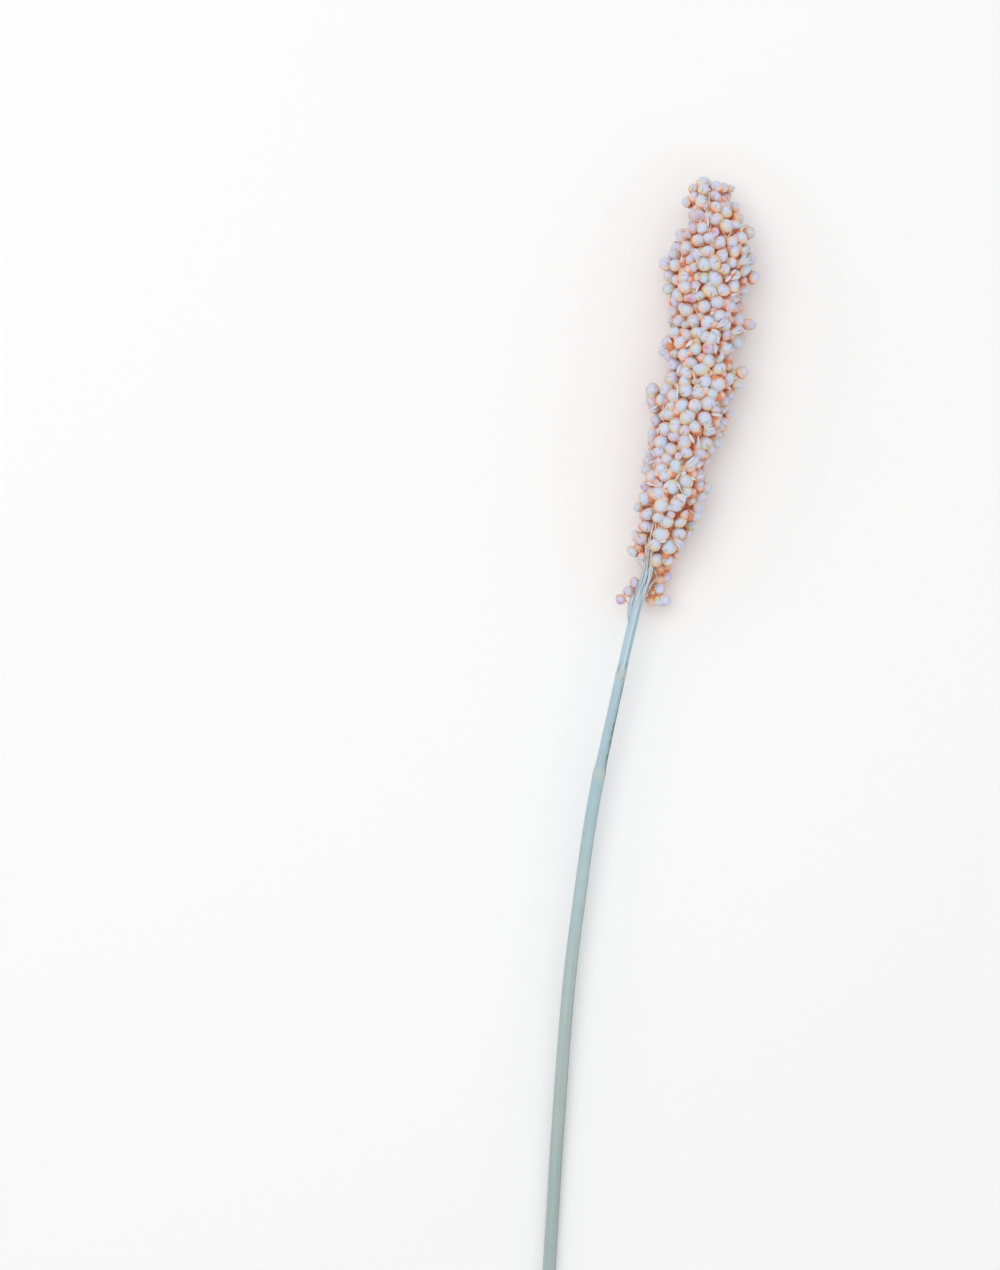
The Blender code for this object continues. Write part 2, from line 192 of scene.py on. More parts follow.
def newPiece(name, primitive, **settings):
    deselectAll()
    primitive(**settings)
    return named(name)


def selectFaces(piece, test):
    objectMode()
    mesh = piece.data
    for part in (mesh.vertices, mesh.edges, mesh.polygons):
        part.foreach_set("select", [False] * len(part))
    for face in mesh.polygons:
        face.select = test(face)
    editMode(piece)
    bpy.ops.mesh.select_mode(type="FACE")


def turnFacesOut(piece):
    editMode(piece)
    bpy.ops.mesh.select_all(action="SELECT")
    bpy.ops.mesh.normals_make_consistent(inside=False)


def readPoints(piece):
    points = np.empty(len(piece.data.vertices) * 3, np.float32)
    piece.data.vertices.foreach_get("co", points)
    return points.reshape(-1, 3).astype(float)


def writePoints(piece, points):
    piece.data.vertices.foreach_set("co", np.asarray(points, np.float32).ravel())
    piece.data.update()


def keepRows(piece, name, rows):  # one vector for each point, for the materials to read
    layers = piece.data.attributes
    layer = layers.get(name) or layers.new(name, "FLOAT_VECTOR", "POINT")
    layer.data.foreach_set("vector", np.asarray(rows, np.float32).ravel())


def layAlongStalk(piece):  # bends a piece that was modelled straight, its length along Y
    straight = readPoints(piece)
    keepRows(piece, "straightPlace", straight)
    writePoints(piece, stalk.place(*straight.T))


def keepStraight(piece):  # the same rows for a piece that was modelled where it lies
    points = readPoints(piece)
    near = np.array([np.argmin(np.linalg.norm(stalk.points - p, axis=1)) for p in points])
    offset = points - stalk.points[near]
    keepRows(piece, "straightPlace", np.stack([offset[:, 0], stalk.lengths[near], offset[:, 2]], -1))


def copyOf(master, matrix):
    copy = master.copy()
    copy.data = master.data.copy()
    copy.data.transform(matrix)
    bpy.context.scene.collection.objects.link(copy)
    return copy


def liftOff(piece):  # one that would sink into the floor lies on it
    lowest = readPoints(piece)[:, 2].min()
    piece.data.transform(Matrix.Translation((0, 0, max(0.0, 0.02 * mm - lowest))))


def joined(pieces, name):
    selectOnly(*pieces)
    bpy.ops.object.join()
    return named(name)


def smooth(piece, angle):
    selectOnly(piece)
    bpy.ops.object.shade_smooth_by_angle(angle=math.radians(angle))
    return piece


def threads(name, paths, thickness, roundness):  # thin stalks, each of (point, share of the thickness)
    curve = newPiece(name, bpy.ops.curve.primitive_nurbs_path_add).data
    curve.splines.clear()
    for path in paths:
        spline = curve.splines.new("POLY")
        spline.points.add(len(path) - 1)
        for spot, (point, share) in zip(spline.points, path):
            spot.co = (*point, 1)
            spot.radius = share
    curve.bevel_depth = thickness / 2
    curve.bevel_resolution = roundness
    curve.use_fill_caps = True
    bpy.ops.object.convert(target="MESH")
    return smooth(named(name), 60)


def finished(piece, node, material):
    if not piece.data.materials:
        piece.data.materials.append(material)
    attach(piece, "root")
    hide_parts(node)


# Small tools for materials


def feed(tree, socket, given):  # gives a socket a number, a colour or what another node puts out
    given = given.socket if isinstance(given, Value) else given
    if isinstance(given, bpy.types.NodeSocket):
        tree.links.new(given, socket)
    else:
        socket.default_value = (*given, 1) if socket.type == "RGBA" else given


class Value:  # a number that changes over a surface, so that nodes are written as plain formulas
    def __init__(self, nodes, socket):
        self.nodes = nodes
        self.socket = socket

    def maths(self, operation, other=0.0):
        return self.nodes.maths(operation, self, other)

    def __add__(self, other):
        return self.maths("ADD", other)

    def __sub__(self, other):
        return self.maths("SUBTRACT", other)

    def __rsub__(self, other):
        return self.nodes.maths("SUBTRACT", other, self)

    def __mul__(self, other):
        return self.maths("MULTIPLY", other)

    def most(self, other):  # the larger of the two
        return self.maths("MAXIMUM", other)

    def over(self, limit):
        return self.maths("GREATER_THAN", limit)

    def under(self, limit):
        return self.maths("LESS_THAN", limit)

    def clamped(self):  # kept from nought to one
        self.socket.node.use_clamp = True
        return self

    def past(self, start, steepness):  # nought at the start, and rising from there, or falling to there
        return ((self - start) * steepness).clamped()

    def band(self, centre, halfWidth, steepness=None):  # one at the centre, nought at half the width away
        away = (self - centre).maths("ABSOLUTE")
        share = (1.0 - away.maths("DIVIDE", halfWidth)).clamped()
        return (share * steepness).clamped() if steepness else share


class Nodes:  # the nodes of a material or of a node group
    def __init__(self, tree):
        self.tree = tree

    def add(self, kind, **inputs):
        made = self.tree.nodes.new(kind)
        for name, given in inputs.items():
            feed(self.tree, made.inputs[int(name[1:]) if name[1:].isdigit() else name], given)
        return made

    def maths(self, operation, first, second):
        made = self.add("ShaderNodeMath", _0=first, _1=second)
        made.operation = operation
        return Value(self, made.outputs[0])

    def noise(self, vector, scale, detail, roughness=0.5):
        made = self.add("ShaderNodeTexNoise", Vector=vector, Scale=scale, Detail=detail, Roughness=roughness)
        return Value(self, made.outputs["Fac"])

    def apart(self, vector):  # its three numbers
        return [Value(self, socket) for socket in self.add("ShaderNodeSeparateXYZ", _0=vector).outputs]


class Effect(Nodes):  # a node group; an input with no value takes a vector
    def __init__(self, name, inputs, outputs):
        super().__init__(bpy.data.node_groups.new(name, "ShaderNodeTree"))
        newSocket = self.tree.interface.new_socket
        for socketName, value in inputs.items():
            if value is None:
                newSocket(socketName, in_out="INPUT", socket_type="NodeSocketVector")
            else:
                newSocket(socketName, in_out="INPUT", socket_type="NodeSocketFloat").default_value = value
        for socketName in outputs:
            newSocket(socketName, in_out="OUTPUT", socket_type="NodeSocketFloat")
        given = self.tree.nodes.new("NodeGroupInput").outputs
        self.given = [Value(self, given[socketName]) for socketName in inputs]

    def puttingOut(self, **outputs):
        self.add("NodeGroupOutput", **outputs)
        return self.tree


class Skin(Nodes):  # a material in the making, with the colour that it has so far
    def __init__(self, name, roughness):
        self.material = bpy.data.materials.new(name)
        self.material.use_nodes = True
        super().__init__(self.material.node_tree)
        self.sockets = self.tree.nodes["Principled BSDF"].inputs
        self.sockets["Roughness"].default_value = roughness

    def places(self):
        return self.add("ShaderNodeTexCoord").outputs

    def attribute(self, name):
        made = self.add("ShaderNodeAttribute")
        made.attribute_name = name
        return made.outputs["Vector"]

    def use(self, effect, **inputs):
        made = self.add("ShaderNodeGroup")
        made.node_tree = effect
        for name, given in inputs.items():
            feed(self.tree, made.inputs[name], given)
        return {socket.name: Value(self, socket) for socket in made.outputs}

    def ramp(self, share, stops):
        made = self.add("ShaderNodeValToRGB", _0=share)
        elements = made.color_ramp.elements
        while len(elements) < len(stops):
            elements.new(0.5)
        for element, (position, colour) in zip(elements, stops):
            element.position = position
            element.color = (*colour, 1)
        self.colour = made.outputs["Color"]

    def mix(self, share, first, second, blend="MIX"):
        made = self.add("ShaderNodeMix")
        made.data_type = "RGBA"
        made.blend_type = blend
        for index, given in ((0, share), (6, first), (7, second)):
            feed(self.tree, made.inputs[index], given)
        return made.outputs[2]

    def paint(self, share, colour, blend="MIX"):
        self.colour = self.mix(share, self.colour, colour, blend)

    def paintedGlow(self, colour):
        feed(self.tree, self.sockets["Emission Color"], colour)
        self.sockets["Emission Strength"].default_value = 1.0

    def bumped(self, relief, depth, strength=1.0):
        bump = self.add("ShaderNodeBump", Height=relief, Distance=depth, Strength=strength)
        feed(self.tree, self.sockets["Base Color"], self.colour)
        feed(self.tree, self.sockets["Normal"], bump.outputs["Normal"])
        return self.material


def makeFibreStreaks():  # fine streaks that run lengthwise, as a mask and as relief
    effect = Effect("fibreStreaks", {"Vector": None, "Scale": 900.0, "Stretch": 0.03}, ("Mask", "Height"))
    vector, scale, stretch = effect.given
    scales = effect.add("ShaderNodeCombineXYZ", _0=scale, _1=scale * stretch, _2=scale)
    moved = effect.add("ShaderNodeVectorMath", _0=vector, _1=scales.outputs[0])
    moved.operation = "MULTIPLY"
    broad = effect.noise(moved.outputs[0], 1.0, 3.0, 0.6)
    fine = effect.noise(moved.outputs[0], 3.1, 2.0)
    return effect.puttingOut(Mask=broad.past(0.32, 2.6), Height=fine * 0.6 + broad)


def makeMottle():  # soft blotches and small specks
    effect = Effect("mottle", {"Vector": None, "Scale": 250.0}, ("Blotches", "Specks", "Height"))
    vector, scale = effect.given
    broad = effect.noise(vector, scale, 2.0)
    fine = effect.noise(vector, scale * 7.0, 3.0)
    return effect.puttingOut(Blotches=broad.past(0.3, 2.5), Specks=fine.past(0.62, 8.0), Height=fine)


def makeDashMark():  # a short dark dash that runs lengthwise
    names = ("Across", "Along", "MidAcross", "MidAlong", "Width", "Length")
    effect = Effect("dashMark", dict.fromkeys(names, 0.0), ("Mask",))
    across, along, midAcross, midAlong, width, length = effect.given
    both = across.band(midAcross, width) * along.band(midAlong, length)
    return effect.puttingOut(Mask=(both * 2.6).clamped())


fibreStreaks = makeFibreStreaks()
mottle = makeMottle()
dashMark = makeDashMark()

# The materials

grainColours = {
    "foot": (0.70, 0.27, 0.13),  # along a grain, from its foot to its top; partly the dye's own colours, partly painted light and shade, lighter at the crown that faces out and darker, more orange towards the shaded foot
    "side": (0.78, 0.44, 0.30),
    "shoulder": (0.84, 0.60, 0.51),
    "rim": (0.82, 0.71, 0.69),
    "crown": (0.70, 0.685, 0.765),
    "top": (0.655, 0.715, 0.89),
    # painted glow: faint orange light given off low on the grains and by the head's core, lifting the shade
    # between the grains
    "paintedGlow": (0.038, 0.011, 0.001),
    "pinkRing": (1.0, 0.86, 0.90),  # tints, from here to pink
    "oliveRing": (0.93, 0.98, 0.76),
    "mint": (0.90, 1.0, 0.96),
    "lilac": (1.0, 0.93, 0.99),
    "green": (0.92, 0.98, 0.72),
    "pink": (1.0, 0.80, 0.86),
    "magenta": (0.66, 0.16, 0.40),
    "scar": (0.40, 0.33, 0.33),
    "shadedCrease": (0.36, 0.27, 0.30),
    "paintedLipShadow": (0.50, 0.27, 0.20),
}
grainLook = {
    "fineScale": 420.0,
    "broadScale": 150.0,
    "veins": 22,
    "lipAt": 0.601,  # where the husk ends, up the grain's own map
    "upShare": 0.74,  # how much of the shade each of these gives
    "asideShare": 0.12,
    "blotchShare": 0.16,
    "huskShare": 0.08,
    "stops": (0.02, 0.15, 0.33, 0.55, 0.70, 1.0),
    "ring": (0.56, 0.26, 1.4),  # bands: the centre, half the width, and how sharply they end
    "underLip": (0.613, 0.024),
    "creaseOne": (0.27, 0.028),
    "creaseTwo": (0.74, 0.020),
    "tints": (0.30, 2.5),  # slopes: where they start, and how steep they are
    "cap": (0.76, 5.0),
    "belowCap": (1.05, -2.6),
    "stain": (1.1, 0.4),
    "folded": (0.15, 2.0),
    "scar": (0.97, 30.0),
    "paintedGlowBelow": (0.72, -2.4),
    "relief": 0.20 * mm,
}


def makeGrainHusk():
    skin = Skin("grainHusk", 0.6)
    c, look = grainColours, grainLook
    places = skin.places()
    around, up, _ = skin.apart(places["UV"])
    paleness, greenness, pinkness = skin.apart(skin.attribute("grainTone"))
    aside, _, height = skin.apart(skin.attribute("grainPlace"))
    spots = skin.use(mottle, Vector=places["Object"], Scale=look["fineScale"])
    tints = skin.use(mottle, Vector=places["Object"], Scale=look["broadScale"])["Blotches"]
    tints = tints.past(*look["tints"])
    onHusk = up.under(look["lipAt"])
    height = height * look["upShare"] + aside * look["asideShare"]
    height = height + (spots["Blotches"] - 0.5) * look["blotchShare"] - onHusk * look["huskShare"] + paleness
    # the ramp is partly painted light and shade: lighter up to the crown, darker and more orange down to the
    # shaded foot
    stages = ("foot", "side", "shoulder", "rim", "crown", "top")
    skin.ramp(height, [(stop, c[stage]) for stop, stage in zip(look["stops"], stages)])
    skin.paint(height.band(*look["ring"]), skin.mix(tints, c["pinkRing"], c["oliveRing"]), "MULTIPLY")
    skin.paint(height.past(*look["cap"]), skin.mix(tints, c["mint"], c["lilac"]), "MULTIPLY")
    skin.paint((greenness * height.past(*look["belowCap"])).clamped(), c["green"], "MULTIPLY")
    skin.paint((pinkness * 0.7).clamped(), c["pink"], "MULTIPLY")
    skin.paint(pinkness.past(*look["stain"]), c["magenta"])
    veins = (around * (math.tau * look["veins"])).maths("SINE")
    skin.paint((veins * 0.5 + 0.5) * 0.10, c["rim"])
    # painted shadow: a dark line on the crown just under the husk's edge
    skin.paint(up.band(*look["underLip"]) * (1.0 - onHusk) * 0.55, c["paintedLipShadow"])
    # painted shade: dark lines down the creases of the crown where the glumes fold; the same lines are cut
    # into the relief
    shadedCrease = around.band(*look["creaseOne"]).most(around.band(*look["creaseTwo"]))
    shadedCrease = shadedCrease * up.over(0.60) * tints.past(*look["folded"])
    skin.paint(shadedCrease * 0.75, c["shadedCrease"])
    skin.paint(up.past(*look["scar"]) * 0.5, c["scar"])
    skin.paintedGlow(skin.mix(height.past(*look["paintedGlowBelow"]), (0, 0, 0), c["paintedGlow"]))  # painted glow: orange light given off low on each grain, lifting the shade in the gaps between grains
    return skin.bumped(veins * 0.12 + spots["Height"] - shadedCrease * 1.2, look["relief"], 0.8)


innerLook = {"dark": (0.66, 0.27, 0.14), "light": (0.74, 0.42, 0.28), "scale": 300.0, "relief": 0.6 * mm}
pithLook = {"dark": (0.78, 0.72, 0.58), "light": (0.88, 0.85, 0.76), "scale": 1500.0, "relief": 0.25 * mm}


def makeTwoToned(name, look, roughness, paintedGlow=None):
    skin = Skin(name, roughness)
    spots = skin.use(mottle, Vector=skin.places()["Object"], Scale=look["scale"])
    skin.colour = skin.mix(spots["Blotches"], look["dark"], look["light"])
    if paintedGlow:
        skin.paintedGlow(paintedGlow)
    return skin.bumped(spots["Height"], look["relief"])


paperLook = {  # along a blade, from its root to its point
    "stops": (
        (0.0, (0.76, 0.52, 0.44)), (0.25, (0.76, 0.67, 0.62)), (0.55, (0.68, 0.70, 0.80)),
        (1.0, (0.62, 0.70, 0.86)),
    ),
    "line": (0.62, 0.54, 0.56),
    "lines": 4,
    "relief": 0.02 * mm,
}


def makePaperyHusk():
    skin = Skin("paperyHusk", 0.5)
    around, up, _ = skin.apart(skin.places()["UV"])
    lines = (around * (math.tau * paperLook["lines"])).maths("SINE")
    skin.ramp(up, paperLook["stops"])
    skin.paint((lines + 1.0) * 0.10, paperLook["line"])
    return skin.bumped(lines, paperLook["relief"], 0.6)


branchLook = {
    "stops": ((0.1, (0.80, 0.48, 0.35)), (0.5, (0.82, 0.64, 0.50)), (0.9, (0.80, 0.75, 0.68))),
    "speck": (0.45, 0.24, 0.14),
    "scale": 200.0,
    "relief": 0.12 * mm,
}


def makeBranchSkin():
    skin = Skin("branchSkin", 0.6)
    spots = skin.use(mottle, Vector=skin.places()["Object"], Scale=branchLook["scale"])
    skin.ramp(spots["Blotches"], branchLook["stops"])
    skin.paint(spots["Specks"] * 0.5, branchLook["speck"])
    return skin.bumped(spots["Height"], branchLook["relief"])


stemColours = {
    "low": (0.335, 0.43, 0.39),
    "lowMiddle": (0.37, 0.455, 0.42),
    "middle": (0.395, 0.52, 0.53),
    "high": (0.345, 0.51, 0.605),
    "seedStalk": (0.46, 0.61, 0.73),
    "strand": (0.58, 0.70, 0.79),
    "seedStalkTop": (0.86, 0.79, 0.72),
    "streak": (0.55, 0.68, 0.71),
    "shade": (0.31, 0.39, 0.39),
    "joint": (0.60, 0.56, 0.46),
    "crack": (0.10, 0.07, 0.045),
    # painted highlight along the seed stalk's ridge; painted shade on its right face, in the fold beside the
    # ridge, and, a little greener, on the culm's right side below the collar
    "ridgeHighlight": (0.72, 0.80, 0.84),
    "shadedRightFace": (0.33, 0.52, 0.59),
    "fold": (0.24, 0.38, 0.42),
    "shadedGreenFace": (0.31, 0.43, 0.40),
    # painted shade: the dark line along the stem's right edge, the side turned from the light
    "edge": (0.08, 0.09, 0.06),
    "seam": (0.40, 0.24, 0.15),
}
stemLook = {  # lengths in metres from the cut end, angles round the stem in radians from its right side
    "top": 0.334,
    "stages": (
        (0.0, "low"), (0.20, "low"), (0.38, "lowMiddle"), (0.55, "middle"), (0.72, "high"),
        (0.90, "seedStalk"), (0.94, "strand"), (0.975, "seedStalkTop"),
    ),
    "aboveCollar": (0.289, 0.017, 4.0),  # bands: the centre, half the width, and how sharply they end
    "belowCollar": (0.251, 0.021, 4.0),
    "joint": (0.2315, 0.004),
    "collar": (0.2725, 0.004),
    "collarLine": (0.2706, 0.0006),
    "collarTop": 0.2735,
    # painted shade on the right sides and in the fold, and a painted highlight on the ridge
    "faces": (  # where, its angle and half its width, how sharply it ends and how strong it is
        ("aboveCollar", 0.0, 1.28, 6.0, 0.85, "shadedRightFace"), ("belowCollar", 0.0, 1.16, 4.0, 0.8, "shadedGreenFace"),
        ("aboveCollar", 1.24, 0.11, 1.6, 0.6, "fold"), ("aboveCollar", 1.44, 0.18, 1.3, 0.7, "ridgeHighlight"),
    ),
    # painted shade along the right edge
    "edge": (0.30, 0.38, 3.0),
    "seams": (0.55, -2.2),  # slopes: where they start, and how steep they are
    "parted": (0.298, 150.0),
    "fibreScale": 1100.0,
    "fibreStretch": 0.02,
    "spotScale": 160.0,
    "raggedScale": 2200.0,
    "raggedAcross": 0.5 * mm,
    "raggedAlong": 2 * mm,
    "relief": 0.10 * mm,
}
stemMarks = (  # dark dashes: x, y of the middle, half the width and half the length, in pixels
    (619.3, 667.0, 0.55, 3.8), (626.2, 667.5, 0.6, 4.2), (625.6, 673.0, 0.4, 2.0),
    (618.3, 672.5, 0.3, 1.6), (620.4, 674.6, 0.4, 0.7), (624.0, 675.6, 0.5, 1.4), (612.4, 731.5, 0.9, 4.2),
    (613.4, 727.0, 0.5, 3.4), (610.0, 743.0, 0.4, 6.0), (607.0, 757.0, 0.4, 5.0),
)


def makeStemSkin():
    skin = Skin("stemSkin", 0.5)
    c, look, pixel = stemColours, stemLook, photoScale["pixel"]
    place = skin.attribute("straightPlace")
    across, along, above = skin.apart(place)
    fibres = skin.use(fibreStreaks, Vector=place, Scale=look["fibreScale"], Stretch=look["fibreStretch"])
    spots = skin.use(mottle, Vector=place, Scale=look["spotScale"])
    ragged = skin.use(mottle, Vector=place, Scale=look["raggedScale"])["Blotches"] - 0.5
    skin.ramp(along.maths("DIVIDE", look["top"]), [(stop, c[stage]) for stop, stage in look["stages"]])
    skin.paint(fibres["Mask"] * 0.35, c["streak"])
    skin.paint(spots["Blotches"] * 0.25, c["shade"])
    turn = above.maths("ARCTAN2", across)
    stretches = {name: along.band(*look[name]) for name in ("aboveCollar", "belowCollar", "joint", "collar")}
    # painted light and shade: the right sides darker where they turn from the light, a dark fold, and a
    # painted highlight on the ridge
    for where, centre, halfWidth, sharpness, strength, colour in look["faces"]:
        skin.paint(turn.band(centre, halfWidth, sharpness) * stretches[where] * strength, c[colour])
    broken = ((spots["Blotches"] + 0.3) * 1.2).clamped()
    # painted shade: a broken dark line along the stem's right edge, strongest below the collar
    edge = turn.band(*look["edge"]) * stretches["belowCollar"].most(0.3) * broken
    skin.paint(edge * along.under(look["collarTop"]) * 0.85, c["edge"])
    skin.paint(stretches["joint"] * 0.45, c["joint"])
    skin.paint(stretches["collar"] * 0.5, c["joint"])
    raggedAcross = across + ragged * look["raggedAcross"]
    raggedAlong = along + ragged * look["raggedAlong"]
    cracks = spots["Specks"] * stretches["collar"].most(stretches["joint"] * 0.5)
    cracks = cracks.most(raggedAlong.band(*look["collarLine"]) * spots["Blotches"] * 0.7)
    for x, y, wide, long in stemMarks:
        midAcross, midAlong = straightFrom(x, y, photoScale["stalkHeight"])
        mark = skin.use(
            dashMark, Across=raggedAcross, Along=raggedAlong, MidAcross=midAcross, MidAlong=midAlong,
            Width=wide * pixel, Length=long * pixel,
        )["Mask"]
        cracks = cracks.most(mark * above.over(0.0))
    skin.paint(cracks * 0.8, c["crack"])
    skin.paint(fibres["Mask"].past(*look["seams"]) * along.past(*look["parted"]) * 0.5, c["seam"])
    return skin.bumped(fibres["Height"], look["relief"])


grainHusk = makeGrainHusk()
# painted glow on the head's core, lifting the shade deep between the grains
innerHusk = makeTwoToned("innerHusk", innerLook, 0.8, grainColours["paintedGlow"])
paperyHusk = makePaperyHusk()
branchSkin = makeBranchSkin()
stemSkin = makeStemSkin()
pith = makeTwoToned("pith", pithLook, 0.9)
print("materials made")

# The stem: a smooth culm with one joint, a collar, and the ribbed seed stalk above it

culm = {
    "sides": 24,
    "step": 8 * mm,
    "radius": (  # millimetres from the cut end, radius in millimetres
        (0, 2.60), (150, 2.59), (215, 2.52), (225, 2.50), (229, 2.56), (231.5, 2.68), (232.5, 2.66),
        (233.5, 2.44), (235, 2.24), (240, 2.14), (262, 2.06), (270.5, 2.08), (272.0, 2.20), (273.2, 2.18),
        (274, 2.06), (276, 1.98), (302, 1.92), (308, 1.68), (318, 1.42), (334, 1.2), (348, 1.0),
    ),
    "flatness": 0.07,  # of the three faces above the collar
    "facesFrom": 275,  # millimetres from the cut end
    "facesOver": 6,
    "ridgeAt": math.radians(81),
    "rind": 0.38 * mm,
    "pithDepth": 0.25 * mm,
}


def fromTable(table, length):  # a table in millimetres, read at a length in metres
    return mm * np.interp(np.asarray(length) / mm, *zip(*table))


def culmRadius(length):
    return fromTable(culm["radius"], length)


def makeCulm():
    sides, depth = culm["sides"], culm["pithDepth"]
    rows = [row[0] * mm for row in culm["radius"]]
    even = np.arange(culm["step"], rows[-1], culm["step"])
    stations = sorted(rows + [s for s in even if min(abs(s - row) for row in rows) > culm["step"] / 2])
    stem = newPiece(
        "stem_culm", bpy.ops.mesh.primitive_circle_add,
        vertices=sides, radius=float(culmRadius(0)), fill_type="NGON", rotation=(math.pi / 2, 0, 0),
    )
    bpy.ops.object.transform_apply(location=False, rotation=True, scale=False)
    editMode(stem)
    bpy.ops.mesh.select_all(action="SELECT")
    for before, station in zip(stations, stations[1:]):
        bpy.ops.mesh.extrude_region_move(TRANSFORM_OT_translate={"value": (0, station - before, 0)})
        share = float(culmRadius(station) / culmRadius(before))
        bpy.ops.transform.resize(value=(share, 1, share), center_override=(0, station, 0))
    turnFacesOut(stem)
    selectFaces(stem, lambda face: len(face.vertices) == sides and face.center.y < 1e-6)
    bpy.ops.mesh.inset(thickness=culm["rind"])
    bpy.ops.mesh.extrude_region_move(TRANSFORM_OT_translate={"value": (0, depth, 0)})
    objectMode()
    stem.data.materials.append(stemSkin)
    stem.data.materials.append(pith)
    for face in stem.data.polygons:
        if face.center.y < 1.5 * depth and abs(face.normal.y) > 0.9:
            face.material_index = 1
    points = readPoints(stem)
    share = np.clip((points[:, 1] / mm - culm["facesFrom"]) / culm["facesOver"], 0, 1)
    turn = np.arctan2(points[:, 2], points[:, 0]) - culm["ridgeAt"]
    points[:, ::2] *= (1 + culm["flatness"] * share * np.cos(3 * turn))[:, None]
    writePoints(stem, points)
    smooth(stem, 35)
    layAlongStalk(stem)
    finished(stem, "stem", stemSkin)


strandPlan = {
    "count": 6,
    "rows": 22,
    "thickness": 1.0 * mm,
    "sink": -0.34 * mm,
    "twist": math.radians(30),
    "wave": 0.10,
    "foot": 300 * mm,
    "footSpread": 12,
    "top": 346.0 * mm,
    "topSpread": 14,
    "seed": 4,
}


def besideStalk(out, angle, length):
    return out * math.cos(angle), length, out * math.sin(angle)


def makeStrands():
    draw = random.Random(strandPlan["seed"])
    paths = []
    for index in range(strandPlan["count"]):
        startAngle = math.tau * (index + draw.uniform(-0.2, 0.2)) / strandPlan["count"]
        foot = strandPlan["foot"] + draw.uniform(0, strandPlan["footSpread"]) * mm
        top = strandPlan["top"] - draw.uniform(0, strandPlan["topSpread"]) * mm
        phase = draw.uniform(0, math.tau)
        path = []
        for row in range(strandPlan["rows"]):
            share = row / (strandPlan["rows"] - 1)
            length = foot + (top - foot) * share
            wave = strandPlan["wave"] * math.sin(phase + 5 * share)
            angle = startAngle + strandPlan["twist"] * share + wave
            out = float(culmRadius(length)) + strandPlan["sink"]
            thick = min(1.0, 0.35 + 6 * share) * (1 - 0.2 * share)
            path.append((besideStalk(out, angle, length), thick))
        paths.append(path)
    strands = threads("stem_strands", paths, strandPlan["thickness"], 2)
    layAlongStalk(strands)
    finished(strands, "stem", stemSkin)


makeCulm()
makeStrands()
print("stem made")

# The head's form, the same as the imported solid's: millimetres down from its tip, reach of its grains' tips

head = {
    "length": 158 * mm,
    "left": (
        (0.0, 0.0), (1.5, 5.5), (5.0, 9.6), (10.0, 11.4), (15.0, 10.2), (23.0, 14.2), (31.0, 16.4),
        (37.0, 18.6), (42.0, 18.2), (47.0, 17.0), (54.0, 14.4), (60.0, 14.4), (68.0, 16.6), (75.0, 13.8),
        (81.0, 12.8), (86.0, 14.5), (90.0, 16.4), (97.0, 15.6), (105.0, 15.0), (113.0, 14.0),
        (120.0, 13.2), (129.0, 11.7), (137.0, 11.0), (144.0, 8.0), (150.0, 9.0), (155.0, 8.2),
        (158.0, 3.0),
    ),
    "right": (
        (0.0, 0.0), (1.5, 3.5), (4.0, 7.4), (10.0, 7.6), (15.0, 10.8), (22.0, 15.6), (29.0, 16.2),
        (38.0, 17.0), (44.0, 15.0), (51.0, 14.1), (57.0, 15.4), (64.0, 14.6), (71.0, 12.6), (76.0, 15.4),
        (81.0, 16.6), (86.0, 15.0), (90.0, 13.8), (94.0, 16.2), (99.0, 15.6), (107.0, 13.4), (113.0, 12.0),
        (121.0, 14.0), (129.0, 12.9), (137.0, 13.0), (143.0, 12.8), (150.0, 9.6), (155.0, 6.8),
        (158.0, 3.0),
    ),
    "middle": (
        (0.0, 0.0), (1.5, 4.6), (5.0, 8.4), (15.0, 10.8), (23.0, 14.0), (36.0, 16.2), (47.0, 15.2),
        (60.0, 14.6), (75.0, 14.0), (90.0, 15.2), (105.0, 14.2), (120.0, 12.8), (137.0, 11.4),
        (150.0, 9.0), (158.0, 3.0),
    ),
    "tufts": 30,
    "tuftHeight": 1.6 * mm,
    "tuftHalfWidth": 8.0 * mm,
    "tuftSeed": 11,
    "slim": 6.2 * mm,  # a slimmer part counts as this wide when the tufts are set
    "fullTuftsFrom": 9.3 * mm,
}


def tuftCentres():
    draw = random.Random(head["tuftSeed"])
    centres = []
    for index in range(head["tufts"]):
        down = head["length"] * (index + 0.5) / head["tufts"]
        angle = index * goldenAngle + draw.uniform(-0.25, 0.25)
        centres.append((down, angle, head["tuftHeight"] * draw.uniform(0.6, 1.25)))
    return centres


tufts = tuftCentres()


def wrapped(turn):  # from half a turn back to half a turn on
    return (turn + math.pi) % math.tau - math.pi


def eased(share):  # the same from nought to one, with soft ends
    return share * share * (3 - 2 * share)


def reach(down, angle):  # how far out the grains' tips stand
    down, angle = np.asarray(down, float), np.asarray(angle, float)
    across = np.cos(angle)
    middle = fromTable(head["middle"], down)
    flank = np.where(across > 0, fromTable(head["right"], down), fromTable(head["left"], down))
    rise = np.zeros(np.broadcast(down, angle).shape)
    for tuftDown, tuftAngle, height in tufts:
        away = np.hypot(down - tuftDown, wrapped(angle - tuftAngle) * np.maximum(middle, head["slim"]))
        rise = np.maximum(rise, height * np.exp(-((away / head["tuftHalfWidth"]) ** 2)))
    share = np.clip(middle / head["fullTuftsFrom"], 0, 1)
    rise = (rise - head["tuftHeight"] / 2) * eased(share)
    return middle + rise + (flank - middle - rise) * np.abs(across) ** 1.5


